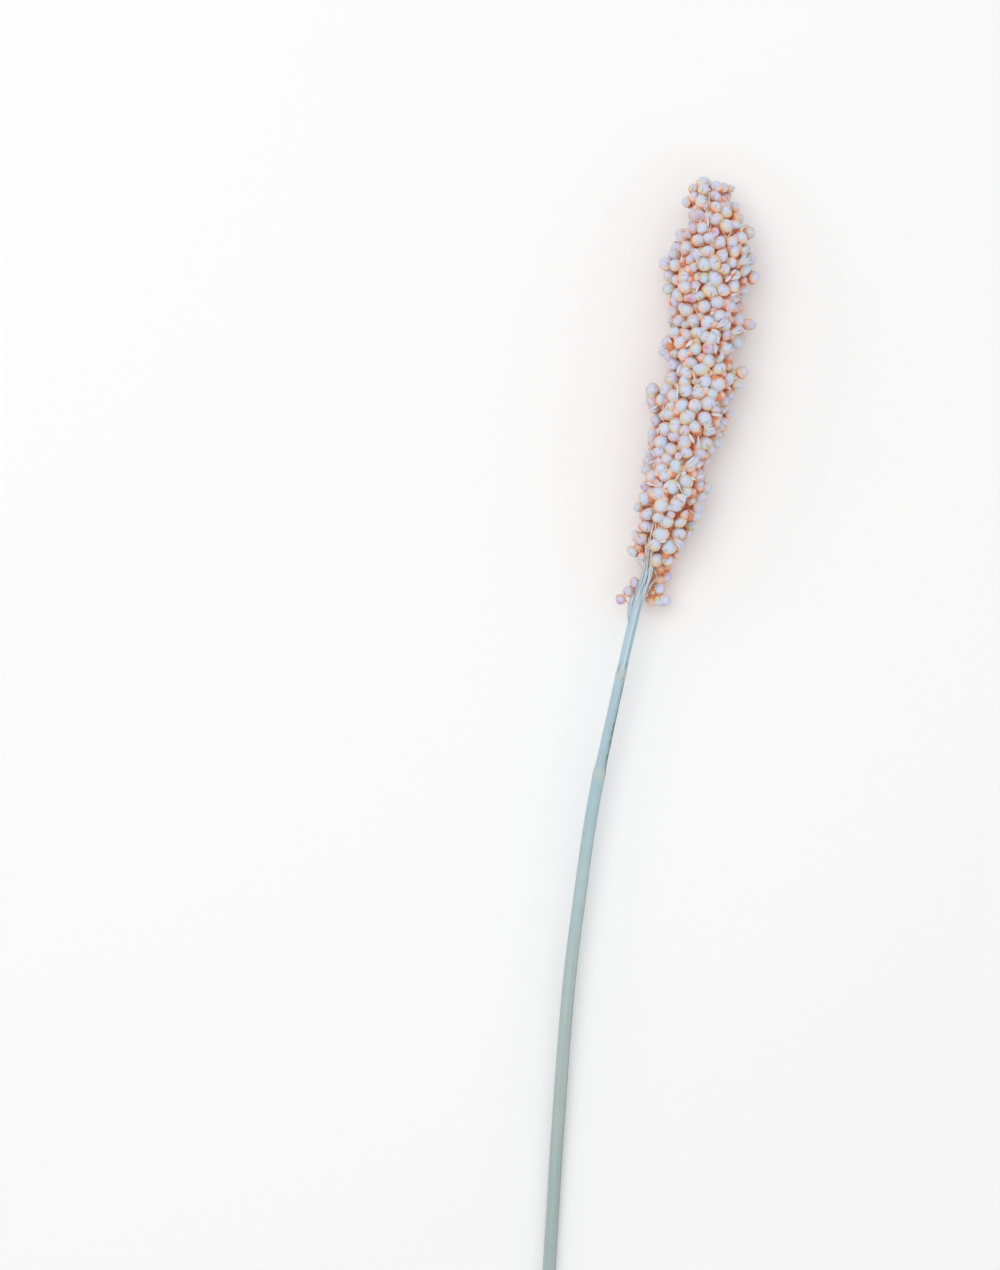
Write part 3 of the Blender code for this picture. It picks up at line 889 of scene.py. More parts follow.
# The grains. Each kind is modelled once, its foot down and its crown up, in a husk with an open top. The
# numbers are its width, flatness and length, where the husk's edge runs (rim, tilt and lip, as shares of
# half the length), how thick the husk is and how far the crown stands out.
grainKinds = {
    "pale": (5.0, 0.94, 5.0, 0.10, 0.26, 0.12, 0.08, 0.0),
    "oval": (5.3, 0.80, 5.3, 0.30, 0.30, 0.16, 0.10, -0.12),
    "ringed": (5.2, 0.90, 5.1, 0.50, 0.18, 0.18, 0.15, 0.12),
    "bud": (4.6, 0.90, 5.8, 0.20, 0.45, 0.10, 0.10, 0.5),
    "shut": (4.9, 0.88, 5.4, 0.84, 0.10, 0.04, 0.10, 0.1),
}
kindShares = {"pale": 5, "oval": 5, "ringed": 5, "bud": 1, "shut": 2}
grainShape = {
    "sides": 12,
    "rings": 5,
    "footNarrower": 0.16,
    "lumps": 0.035,
    "lowestEdge": -0.9,
    "highestEdge": 0.96,
}
edgeTurn = math.tau / grainShape["rings"]  # from the crown to the ring that becomes the husk's edge


def modelGrain(name):
    width, flat, length, rim, tilt, lip, husk, crown = grainKinds[name]
    half = length / 2 * mm
    grain = newPiece(
        "grain_" + name, bpy.ops.mesh.primitive_uv_sphere_add,
        segments=grainShape["sides"], ring_count=grainShape["rings"], radius=half,
    )
    inHusk = set()
    for vertex in grain.data.vertices:  # the rings slide so that one of them follows the husk's edge
        place = vertex.co
        turn, angle = math.acos(max(-1.0, min(1.0, place.z / half))), math.atan2(place.y, place.x)
        edge = rim + tilt * math.cos(angle) + lip * math.cos(2 * angle)
        edge = math.acos(max(grainShape["lowestEdge"], min(grainShape["highestEdge"], edge)))
        if turn > edgeTurn - 0.1:
            inHusk.add(vertex.index)
            moved = math.pi - (math.pi - turn) * (math.pi - edge) / (math.pi - edgeTurn)
        else:
            moved = turn * edge / edgeTurn
        wide = half * math.sin(moved) * (1 + grainShape["footNarrower"] * min(0.0, math.cos(moved)))
        wide *= 1 + grainShape["lumps"] * math.cos(3 * angle + 5 * rim)
        place.x, place.y, place.z = wide * math.cos(angle), wide * math.sin(angle), half * math.cos(moved)
        if turn < 0.01:
            place.z += crown * mm
    editMode(grain)
    bpy.ops.mesh.select_all(action="SELECT")
    narrow = width / length
    bpy.ops.transform.resize(value=(narrow, narrow * flat, 1), center_override=(0, 0, 0))
    selectFaces(grain, lambda face: all(v in inHusk for v in face.vertices))
    bpy.ops.mesh.extrude_region_shrink_fatten(TRANSFORM_OT_shrink_fatten={"value": husk * mm})
    smooth(grain, 50)
    keepRows(grain, "grainPlace", readPoints(grain) / half)
    return grain


grainMasters = {name: modelGrain(name) for name in grainKinds}


# The spot that the photo shows at x, y, this far below the grains' tips: down the head, angle and point
def overHead(x, y, inset, lift=0.0):
    height = photoScale["viewCentre"][2]
    angles = np.radians(np.linspace(3, 177, 349))
    for _ in range(4):
        across, along = straightFrom(x, y, height)
        down = stalk.length - along
        outs = np.maximum(reach(down, angles) - inset, 0.5 * mm)
        nearest = np.argmin(np.abs(outs * np.cos(angles) - across))
        angle, out = float(angles[nearest]), float(outs[nearest])
        height = float(stalk.at(along)[2]) + out * math.sin(angle)
    return down, angle, stalk.place(across, along, out * math.sin(angle) + lift)


# Each grain that the photo shows: x, y and width in pixels, the way that its crown leans in degrees from
# the right, and how far it leans, from 0 (to the viewer) to 1 (lying flat)
seenGrains = {
    "pale": (
        (703, 184, 12, 90, 0.45), (703.5, 190.5, 12, 90, 0.3), (694, 190, 10.5, 100, 0.4),
        (694, 198.5, 10, 90, 0.4), (687, 202.5, 9.5, 180, 0.6), (701.5, 201.5, 11, 90, 0.2),
        (716.5, 187, 11, 100, 0.4), (723, 188.5, 10, 70, 0.4), (715.5, 196.5, 11.5, 95, 0.3),
        (694, 212, 10, 150, 0.5), (717, 220, 12, 120, 0.2), (734, 209, 10.5, 60, 0.5),
        (727, 206.5, 9.5, 80, 0.6), (735, 226, 9.5, 330, 0.4), (702.5, 228.5, 12, 90, 0.1),
        (681, 233.5, 10.5, 170, 0.4), (681.5, 239, 9, 190, 0.3), (709.5, 238, 12.5, 90, 0.15),
        (719.5, 243.5, 12, 60, 0.3), (677, 247, 10.5, 150, 0.4), (674.5, 256, 12, 200, 0.25),
        (707.5, 252, 12, 60, 0.4), (665.5, 264.5, 12, 135, 0.25), (675.5, 266.5, 11.5, 110, 0.35),
        (724.5, 269, 10.5, 80, 0.2), (669.5, 277.5, 12, 135, 0.2), (704, 277.5, 9.5, 270, 0.4),
        (669, 289, 11.5, 160, 0.3), (748.5, 232.5, 11, 0, 0.5), (741, 238.5, 11, 60, 0.4),
        (734.5, 253, 10.5, 100, 0.4), (743, 251, 10, 20, 0.6), (750, 259.5, 11, 350, 0.5),
        (732, 262, 10, 270, 0.3), (733.5, 286.5, 12, 80, 0.3), (742.5, 289.5, 11, 330, 0.5),
        (677, 300, 11.5, 150, 0.25), (704, 307.5, 12.5, 70, 0.1), (708, 321.5, 13, 270, 0.1),
        (675.5, 332.5, 10.5, 150, 0.3), (712.5, 337.5, 15, 90, 0.1), (705.5, 336.5, 10, 150, 0.4),
        (681.5, 341.5, 13, 110, 0.2), (675.5, 353, 9, 60, 0.3), (684, 355, 12, 80, 0.1),
        (717, 302.5, 12.5, 300, 0.15), (719.5, 316, 11, 260, 0.2), (724.5, 325, 12, 330, 0.2),
        (748.5, 325.5, 12.5, 345, 0.55), (735.5, 341.5, 13, 300, 0.2), (725, 347.5, 12, 45, 0.3),
        (675, 364, 12, 150, 0.25), (686, 373, 11.5, 200, 0.2), (684.5, 382, 10, 120, 0.3),
        (708.5, 360.5, 12.5, 70, 0.15), (705, 382.5, 13, 100, 0.15), (728.5, 379.5, 11.5, 330, 0.2),
        (741.5, 373.5, 11.5, 20, 0.55), (736, 385.5, 10.5, 350, 0.6), (711.5, 392.5, 12, 30, 0.2),
        (723.5, 402, 12, 30, 0.3), (654.5, 407.5, 12, 150, 0.2), (682, 404.5, 13, 315, 0.15),
        (671.5, 406, 8.5, 90, 0.3), (656.5, 420, 11, 160, 0.2), (653, 432.5, 10.5, 200, 0.3),
        (659.5, 451.5, 10.5, 100, 0.1), (704, 418.5, 13.5, 100, 0.15), (716, 441.5, 11.5, 300, 0.3),
        (710, 448, 9.5, 320, 0.5), (698.5, 453.5, 12.5, 20, 0.2), (691, 464, 14, 50, 0.2),
        (704.5, 460.5, 11, 10, 0.5), (706, 487.5, 10.5, 350, 0.5), (676.5, 503, 13, 290, 0.2),
        (696.5, 508.5, 10.5, 340, 0.5), (696, 516, 12, 30, 0.3), (687, 535.5, 9.5, 330, 0.4),
        (649, 513, 12, 90, 0.1), (680.5, 521.5, 12, 130, 0.2), (679, 532.5, 12.5, 120, 0.15),
        (655, 545, 12.5, 90, 0.3), (680.5, 544, 9.5, 315, 0.4), (667, 558.5, 12, 30, 0.25),
        (662, 467.5, 10.5, 230, 0.2), (636.5, 537, 10.5, 150, 0.4),
    ),
    "ringed": (
        (753, 277, 12, 0, 0.35), (651.5, 453, 10.5, 170, 0.4), (715.5, 209, 11, 60, 0.45),
        (726, 227.5, 12, 45, 0.3), (698.5, 242, 13, 30, 0.35), (686.5, 248.5, 11.5, 90, 0.2),
        (699, 255.5, 12.5, 180, 0.2), (721.5, 256.5, 11.5, 315, 0.3), (704.5, 266, 11.5, 90, 0.1),
        (715, 264, 12, 215, 0.35), (683.5, 277, 12.5, 35, 0.25), (686, 287, 12.5, 110, 0.3),
        (722.5, 289.5, 11.5, 45, 0.2), (709, 292.5, 13, 40, 0.3), (731.5, 241.5, 11, 330, 0.3),
        (686.5, 311, 11.5, 90, 0.1), (680, 321.5, 11, 200, 0.2), (693.5, 320.5, 11.5, 60, 0.2),
        (737, 320.5, 12, 20, 0.4), (691, 362.5, 11.5, 50, 0.3), (672.5, 378.5, 13, 60, 0.15),
        (667, 389.5, 12, 160, 0.2), (653, 391, 14, 120, 0.35), (661.5, 399, 11, 60, 0.15),
        (673, 397, 11.5, 70, 0.15), (717.5, 383.5, 12.5, 290, 0.2), (698, 393, 13, 120, 0.15),
        (707.5, 403, 13, 30, 0.2), (694.5, 406, 12, 330, 0.15), (669, 414.5, 12, 120, 0.15),
        (675.5, 424.5, 13, 0, 0.05), (666.5, 428.5, 12, 90, 0.1), (694, 428, 12.5, 60, 0.15),
        (662.5, 441, 12.5, 150, 0.15), (685, 440.5, 13.5, 135, 0.15), (672, 448, 12, 150, 0.3),
        (686, 452, 11.5, 100, 0.1), (667.5, 458, 11.5, 100, 0.1), (722, 424.5, 15, 160, 0.2),
        (665.5, 475.5, 12, 180, 0.1), (653, 477, 13, 110, 0.2), (660, 493.5, 13, 100, 0.15),
        (646, 499.5, 13, 150, 0.2), (661.5, 505.5, 12.5, 330, 0.1), (659, 516, 10, 225, 0.3),
        (666.5, 522, 12, 100, 0.15), (646.5, 526, 12, 60, 0.2), (661.5, 533.5, 12.5, 180, 0.1),
        (668.5, 546.5, 13, 300, 0.15), (674, 436, 11, 90, 0.1), (667.5, 341, 11.5, 160, 0.4),
        (665, 350.5, 10.5, 190, 0.4),
    ),
    "green": (
        (700, 296, 9.5, 180, 0.3), (726, 213.5, 11.5, 90, 0.2), (714.5, 278.5, 14, 90, 0.05),
        (744.5, 269.5, 11, 0, 0.4), (697, 333, 12, 80, 0.3), (695.5, 348, 12, 270, 0.15),
        (685.5, 390.5, 13.5, 0, 0.2), (700.5, 370, 14, 110, 0.3), (719, 369, 12, 90, 0.2),
        (727, 359, 11.5, 10, 0.4), (687.5, 416, 13.5, 90, 0.0), (709, 430, 10.5, 330, 0.3),
        (704.5, 443, 13, 90, 0.1), (676, 467, 13.5, 180, 0.15), (685.5, 480.5, 13, 270, 0.1),
        (672.5, 487, 12.5, 280, 0.1), (686.5, 491, 11.5, 300, 0.3), (699.5, 497.5, 12, 320, 0.4),
        (647.5, 469.5, 10.5, 170, 0.3), (638.5, 508, 9, 200, 0.5), (689.5, 526, 11.5, 10, 0.5),
        (633.5, 550.5, 10, 190, 0.3), (656.5, 560, 12, 100, 0.1),
    ),
    "pink": (
        (736, 219.5, 12, 0, 0.7), (693, 229, 9.5, 100, 0.4), (737.5, 308.5, 12, 160, 0.5),
        (653.5, 442.5, 10.5, 150, 0.3), (697.5, 216.5, 13, 250, 0.15), (725, 198.5, 11, 60, 0.6),
        (714.5, 233.5, 9, 0, 0.3), (688.5, 235, 10, 120, 0.2), (690.5, 259, 8.5, 120, 0.3),
        (694, 267, 9, 200, 0.3), (696, 285, 9, 120, 0.3), (692, 299, 10, 90, 0.0),
        (708.5, 349, 12, 315, 0.3), (726, 335.5, 10.5, 70, 0.3), (726, 317, 10.5, 60, 0.3),
        (730, 306, 11, 30, 0.4), (669.5, 356.5, 10, 200, 0.4), (687, 334, 10.5, 120, 0.2),
        (651.5, 402, 11, 190, 0.3), (684.5, 430.5, 10.5, 90, 0.1), (649.5, 461, 12, 120, 0.15),
        (659.5, 461, 8, 100, 0.2), (678.5, 455, 7.5, 90, 0.2), (671, 515, 8, 90, 0.2),
        (641, 539.5, 10.5, 300, 0.15), (715.5, 410, 9, 20, 0.4),
    ),
    "bud": (
        (728.5, 188, 9, 10, 0.8), (728, 416, 9, 20, 0.7), (646, 487, 10, 190, 0.5),
        (684.5, 514.5, 9, 60, 0.6),
    ),
    "shut": (
        (743, 282, 8, 45, 0.5), (675, 311, 11, 180, 0.4), (673, 320.5, 9.5, 180, 0.5),
        (731.5, 373.5, 9, 30, 0.5), (729.5, 395.5, 12, 310, 0.45), (721.5, 410, 8, 340, 0.4),
        (717, 435, 9, 300, 0.3), (698, 474, 12, 0, 0.6), (698, 486.5, 11, 60, 0.5), (690, 501, 10, 0, 0.4),
        (695, 503, 9, 340, 0.5), (670.5, 509, 9, 90, 0.2), (642, 556, 8.5, 250, 0.5),
        (676, 555, 8.5, 0, 0.5), (685.5, 326, 8, 90, 0.3), (660.5, 484.5, 7.5, 90, 0.2),
        (741.5, 336.5, 7.5, 0, 0.5),
    ),
}
stains = ((700, 214.5), (713.5, 232), (689.5, 299.5), (706, 347.5), (619.5, 603.5), (642, 486.5), (727, 195))

grainPlan = {
    "count": 350,
    "spacing": 5.6 * mm,
    "lean": math.radians(24),
    "leanAtTip": math.radians(78),
    "tipLength": 16 * mm,
    "turnSpread": 0.27,
    "sizeSpread": 0.12,
    "shapeSpread": 0.12,
    "usualWidth": 11.0,  # pixels
    "shallow": 2.5 * mm,  # how far below the grains' tips the middle of a seen grain lies
    "deep": 3.6 * mm,  # the same for shut ones
    "riseSpread": 0.35,
    "footBelow": 2.3 * mm,  # where a grain's stalk starts, below its middle
    "middleBelow": 2.6 * mm,  # a grain's middle, below its tip
    "sunkSpread": 0.8,
    "frontDeeper": 1.6 * mm,
    "besideDeeper": 0.9 * mm,
    "besideUpTo": 0.4,  # the sine of the angle
    "clearTip": 9 * mm,
    "frontGap": 4.4 * mm,  # a grain that isn't read off the photo stays this far from those that are
    "stainWidth": 0.8 * mm,
    "stainStrength": 2.8,
    "seed": 21,
}
innerPlan = {
    "count": 480,
    "spacing": 5.4 * mm,
    "turnSpread": 0.4,
    "slimmest": 4 * mm,
    "from": 8 * mm,
    "seed": 22,
}
stainPlaces = np.array([
    seen(x, y, photoScale["headTop" if y < photoScale["headFoot"] else "stalkHeight"])[:2] for x, y in stains
])
notch = {"place": (709.6, 186), "foot": 197, "clear": 2.9 * mm}  # between the tip's two lobes, in pixels
spreading = {"samples": 600, "rounds": 90, "push": 0.22, "further": 1.1, "frontEdge": 0.5, "toBack": 0.85}


def evenSpots(count, spacing, draw, taken=()):  # (down, angle) over the head, pushed apart till even
    downs = np.linspace(0.0, head["length"], spreading["samples"])
    radii = fromTable(head["middle"], downs)
    slant = np.concatenate([[0.0], np.cumsum(np.hypot(np.diff(downs), np.diff(radii)))])
    area = np.concatenate([[0.0], np.cumsum((radii[1:] + radii[:-1]) / 2 * np.diff(slant))])
    run = np.interp(draw.random(count) * area[-1], area, slant)
    angle = draw.random(count) * math.tau
    if len(taken):
        inFront = (angle > spreading["frontEdge"]) & (angle < math.pi - spreading["frontEdge"])
        angle = np.where(inFront, angle + math.pi * (draw.random(count) < spreading["toBack"]), angle)
    run = np.concatenate([run, [np.interp(d, downs, slant) for d, _ in taken]])
    angle = np.concatenate([angle, [a for _, a in taken]])
    for _ in range(spreading["rounds"]):
        radius = np.interp(run, slant, radii)
        mean = (radius[:, None] + radius[None, :]) / 2
        dx, dy = wrapped(angle[:, None] - angle[None, :]) * mean, run[:, None] - run[None, :]
        away = np.hypot(dx, dy) + 1e-9
        push = np.clip(spacing * spreading["further"] - away, 0, None) / away * spreading["push"]
        np.fill_diagonal(push, 0)
        push[count:] = 0
        angle = angle + (dx * push).sum(1) / np.maximum(radius, 2 * mm)
        run = np.clip(run + (dy * push).sum(1), 0, slant[-1])
    return np.interp(run[:count], slant, downs), angle[:count] % math.tau


def pickKind(draw):
    shares = np.array(list(kindShares.values()), float)
    return list(kindShares)[int(draw.choice(len(shares), p=shares / shares.sum()))]


def grainTone(draw, look, sunk=0.0):  # how pale, how green and how pink
    # painted shade: the deeper a grain is sunk, the less pale it is, so darker and more orange
    pale = {"shut": 0.24, "ringed": 0.28, "pink": 0.27}.get(look, 0.32) + draw.normal(0, 0.05) - 60 * sunk
    green = {"green": 0.9}.get(look, max(0.0, draw.normal(0.1, 0.3)))
    pink = {"pink": 0.9, "shut": 0.3}.get(look, max(0.0, draw.normal(0.05, 0.25)))
    return pale, green, pink


def kindOf(look, draw):
    return look if look in grainKinds else ("oval" if draw.random() < 0.5 else "pale")


def placeGrain(kind, centre, way, draw, size, tone):
    facing = Vector(way).to_track_quat("Z", "Y").to_matrix().to_4x4()
    turn = Matrix.Rotation(draw.uniform(0, math.tau), 4, "Z")
    shape = Matrix.Diagonal((*(size * (1 + draw.uniform(-1, 1, 3) * grainPlan["shapeSpread"])), 1))
    grain = copyOf(grainMasters[kind], Matrix.Translation(Vector(centre)) @ facing @ turn @ shape)
    points = readPoints(grain)
    liftOff(grain)
    rows = np.tile(tone, (len(points), 1))
    away = np.linalg.norm(points[:, None, :2] - stainPlaces[None], axis=2).min(1)
    if way[2] > 0:
        rows[:, 2] += grainPlan["stainStrength"] * np.exp(-((away / grainPlan["stainWidth"]) ** 2))
    keepRows(grain, "grainTone", rows)
    return grain


def headWays(down, angle):  # the ways up the head and straight out of it
    along, right, above = stalk.frame(stalk.length - down)
    return along, right * math.cos(angle) + above * math.sin(angle)


def headWay(down, angle, draw, spread):  # the way of a grain's crown; those at the tip lean further
    along, outward = headWays(down, angle)
    share = eased(float(np.clip(1 - down / grainPlan["tipLength"], 0, 1)))
    lean = grainPlan["lean"] + (grainPlan["leanAtTip"] - grainPlan["lean"]) * share
    return unit(outward * math.cos(lean) + along * math.sin(lean) + draw.normal(0, spread, 3))


def headPoint(down, angle, out):
    return stalk.place(out * np.cos(angle), stalk.length - down, out * np.sin(angle))


def leaning(facing, lean):  # the way of a crown that leans so far to that side
    turn, tilt = math.radians(facing), lean * math.pi / 2
    return np.array((math.cos(turn) * math.sin(tilt), math.sin(turn) * math.sin(tilt), math.cos(tilt)))


openFoot = {"from": 132 * mm, "allRoundFrom": 153 * mm, "right": math.radians(35), "left": math.radians(168)}


def inOpenFoot(down, angle):  # the stretch low on the head's left front that shows the seed stalk
    inFront = openFoot["right"] < angle < openFoot["left"]
    return down > openFoot["allRoundFrom"] or (down > openFoot["from"] and inFront)


def inNotch(place):
    middle = seen(*notch["place"], place[2])
    foot = seen(notch["place"][0], notch["foot"], place[2])
    return place[1] > foot[1] and abs(place[0] - middle[0]) < notch["clear"]


grainFeet = []  # where a grain's stalk starts, the way that the grain points, and its place on the head


def makeSeenGrains(draw):
    grains, taken, centres = [], [], []
    for look, rows in seenGrains.items():
        for x, y, width, facing, lean in rows:
            size = width / grainPlan["usualWidth"] * draw.uniform(1.0, 1.06)
            inset = grainPlan["deep" if look == "shut" else "shallow"] * size
            down, angle, centre = overHead(x, y, inset, draw.normal(0, grainPlan["riseSpread"]) * mm)
            kind = kindOf(look, draw)
            if look == "pale" and draw.random() < 0.5:
                kind = "oval"
            way = unit(leaning(facing, lean) + draw.normal(0, 0.05, 3))
            grains.append(placeGrain(kind, centre, way, draw, size, grainTone(draw, look)))
            taken.append((down, angle))
            centres.append(centre)
            grainFeet.append((centre - way * grainPlan["footBelow"] * size, way, down, angle))
    return grains, taken, np.array(centres)


def makeHeadGrains():
    draw = np.random.default_rng(grainPlan["seed"])
    grains, taken, centres = makeSeenGrains(draw)
    for down, angle in zip(*evenSpots(grainPlan["count"], grainPlan["spacing"], draw, taken)):
        if inOpenFoot(down, angle):
            continue
        way = headWay(down, angle, draw, grainPlan["turnSpread"])
        size = 1 + draw.uniform(-1, 1) * grainPlan["sizeSpread"]
        sunk = abs(draw.normal(0, grainPlan["sunkSpread"])) * mm
        front = math.sin(angle)
        if front > 0.02 and down < grainPlan["clearTip"]:
            continue
        beside = abs(front) < grainPlan["besideUpTo"]
        inFront = not beside and front > 0
        deeper = grainPlan["frontDeeper"] if inFront else grainPlan["besideDeeper"] if beside else 0
        out = float(reach(down, angle)) - sunk - deeper
        centre = headPoint(down, angle, out) - way * grainPlan["middleBelow"] * size
        gap = grainPlan["frontGap"] * (1 if inFront else 0.86 if front > -0.2 else 0)
        if np.linalg.norm(centres - centre, axis=1).min() < gap or inNotch(centre):
            continue
        kind = pickKind(draw)
        grains.append(placeGrain(kind, centre, way, draw, size, grainTone(draw, kind, sunk)))
        grainFeet.append((centre - way * grainPlan["footBelow"], way, down, angle))
    print("head grains", len(grains), "of them read off the photo", len(taken))
    finished(joined(grains, "head_grains"), "head", grainHusk)


def makeInnerGrains():
    draw = np.random.default_rng(innerPlan["seed"])
    grains = []
    for down, angle in zip(*evenSpots(innerPlan["count"], innerPlan["spacing"], draw)):
        out = float(reach(down, angle)) - draw.uniform(1.9, 3.4) * mm
        if out < innerPlan["slimmest"] or down < innerPlan["from"] or inOpenFoot(down, angle):
            continue
        way = headWay(down, angle, draw, innerPlan["turnSpread"])
        # painted shade: the inner grains get a low paleness, darker and more orange than the outer ones
        tone = (draw.uniform(-0.14, 0.14), 0.0, draw.uniform(0, 0.5))
        size = draw.uniform(0.84, 1.02)
        centre = headPoint(down, angle, out) - way * grainPlan["middleBelow"] * size
        kind = "shut" if draw.random() < 0.6 else "ringed"
        grains.append(placeGrain(kind, centre, way, draw, size, tone))
    finished(joined(grains, "head_inner_grains"), "head", grainHusk)


core = {"sides": 36, "rings": 48, "from": 5 * mm, "shorter": 14 * mm, "below": 5.2 * mm, "slimmest": 1.2 * mm}


def makeHeadCore():
    piece = newPiece(
        "head_core", bpy.ops.mesh.primitive_uv_sphere_add,
        segments=core["sides"], ring_count=core["rings"], radius=1, rotation=(-math.pi / 2, 0, 0),
    )
    bpy.ops.object.transform_apply(location=False, rotation=True, scale=False)
    shape = readPoints(piece)
    down = (1 - shape[:, 1]) / 2 * (head["length"] - core["shorter"]) + core["from"]
    angle = np.arctan2(shape[:, 2], shape[:, 0])
    out = np.maximum(reach(down, angle) - core["below"], core["slimmest"])
    out = out * np.minimum(1, 3 * np.hypot(shape[:, 0], shape[:, 2]))
    writePoints(piece, np.stack([out * np.cos(angle), stalk.length - down, out * np.sin(angle)], -1))
    turnFacesOut(piece)
    smooth(piece, 60)
    layAlongStalk(piece)
    finished(piece, "head", innerHusk)


# Papery husks: one thin pointed blade, copied where the photo shows them and on the other sides

blade = {
    "length": 4.0 * mm,
    "width": 0.85 * mm,
    "fold": 0.20 * mm,
    "curl": 0.30 * mm,
    "thickness": 0.07 * mm,
    "rootBelow": 0.7 * mm,
}


def modelBlade():
    piece = newPiece(
        "husk_blade", bpy.ops.mesh.primitive_grid_add, x_subdivisions=2, y_subdivisions=5, size=1
    )
    for vertex in piece.data.vertices:
        across, share = vertex.co.x * 2, vertex.co.y + 0.5
        wide = max(0.05, math.sin(math.pi * min(1.0, 0.12 + 0.88 * share)) ** 0.8)
        vertex.co.x = across * wide * blade["width"] / 2
        vertex.co.y = share * blade["length"]
        vertex.co.z = abs(across) * wide * blade["fold"] + blade["curl"] * share * share
    solid = piece.modifiers.new("thickness", "SOLIDIFY")
    solid.thickness = blade["thickness"]
    solid.offset = 0
    bpy.ops.object.modifier_apply(modifier=solid.name)
    return smooth(piece, 60)


# Each husk or fan of husks that the photo shows: x, y of its root and its length in pixels, the way it
# points in degrees from the right, how far the fan spreads, how many blades and how broad they are
seenHusks = (
    (738, 266, 15, 35, 62, 7, 1.0), (731, 280.5, 12, 26, 32, 4, 1.0), (725.5, 281.5, 9, 45, 0, 1, 1.5),
    (731, 274, 7, 50, 0, 1, 1.6), (716, 328, 12, 36, 42, 4, 1.0), (730, 333.5, 13, 14, 44, 5, 1.0),
    (717.5, 363, 12, 56, 34, 4, 1.1), (704, 428.5, 12, 24, 110, 7, 0.9), (711, 414.5, 12, 352, 10, 2, 1.2),
    (684.5, 468, 17, 40, 26, 4, 1.5), (676.5, 494, 12, 336, 24, 3, 1.7), (674, 538, 13, 322, 40, 5, 1.1),
    (691, 476.5, 10, 270, 0, 1, 1.5), (690.5, 478, 6, 332, 0, 1, 1.4), (693, 341, 11, 221, 0, 1, 1.7),
    (715.3, 343, 11, 270, 0, 1, 1.5), (698, 436.5, 14, 268, 8, 2, 1.0), (689, 432.5, 11, 299, 14, 2, 1.1),
    (720.5, 380.5, 9, 304, 0, 1, 1.2), (727.5, 385.5, 6, 312, 0, 1, 1.0), (678.3, 385, 15, 270, 0, 1, 1.2),
    (692.3, 371.5, 14, 288, 0, 1, 0.8), (696.5, 384, 7, 237, 0, 1, 0.8), (696.5, 383, 6, 318, 0, 1, 0.8),
    (681, 262.5, 8, 63, 0, 1, 1.5), (677.2, 372.3, 6, 45, 0, 1, 2.0), (698.5, 285.5, 10, 260, 0, 1, 1.2),
    (650.5, 452, 9, 163, 0, 1, 1.3), (719, 433.5, 6, 310, 20, 2, 1.0), (697, 465.3, 5, 12, 0, 1, 1.8),
    (663.8, 487, 11, 40, 0, 1, 2.0), (676.8, 479.5, 12, 292, 0, 1, 0.9), (675.3, 480, 10, 53, 0, 1, 0.8),
    (680.8, 474.8, 6, 25, 0, 1, 1.9), (669, 404, 9, 235, 0, 1, 0.9), (707.4, 216.5, 13, 274, 0, 1, 0.9),
    (708.7, 195, 15, 273, 0, 1, 0.5), (689.5, 533, 5, 0, 24, 2, 0.8), (659.5, 541, 7, 5, 0, 1, 1.6),
    (686.5, 536.5, 7, 46, 0, 1, 1.4), (730.5, 296.5, 7, 16, 20, 2, 1.0),
    (672.5, 351.5, 7, 302, 26, 2, 1.0), (711.5, 329, 10, 330, 30, 2, 1.3),
    (717.5, 334, 11, 268, 14, 2, 1.1), (657.5, 427, 8, 320, 40, 3, 0.9), (656, 455, 9, 140, 24, 2, 0.9),
    (654.5, 485, 9, 160, 20, 2, 1.0), (713.7, 311.5, 5, 220, 0, 1, 1.4), (682, 498.5, 5, 305, 0, 1, 1.3),
    (671.5, 344, 8, 140, 30, 2, 1.0), (726.5, 352, 9, 60, 20, 2, 1.2),
)
looseBlades = {"count": 90, "spacing": 9 * mm, "seed": 5}


def placeBlade(master, root, way, lift, length, breadth, roll):
    along = unit(way + lift)
    aside = unit(np.cross(along, lift))
    turn = Matrix(np.stack([aside, along, np.cross(aside, along)], -1)).to_4x4()
    longer = length / blade["length"]
    size = Matrix.Diagonal((breadth, longer, 0.5 + 0.5 * longer, 1))
    copy = copyOf(master, Matrix.Translation(Vector(root)) @ turn @ Matrix.Rotation(roll, 4, "Y") @ size)
    liftOff(copy)
    return copy


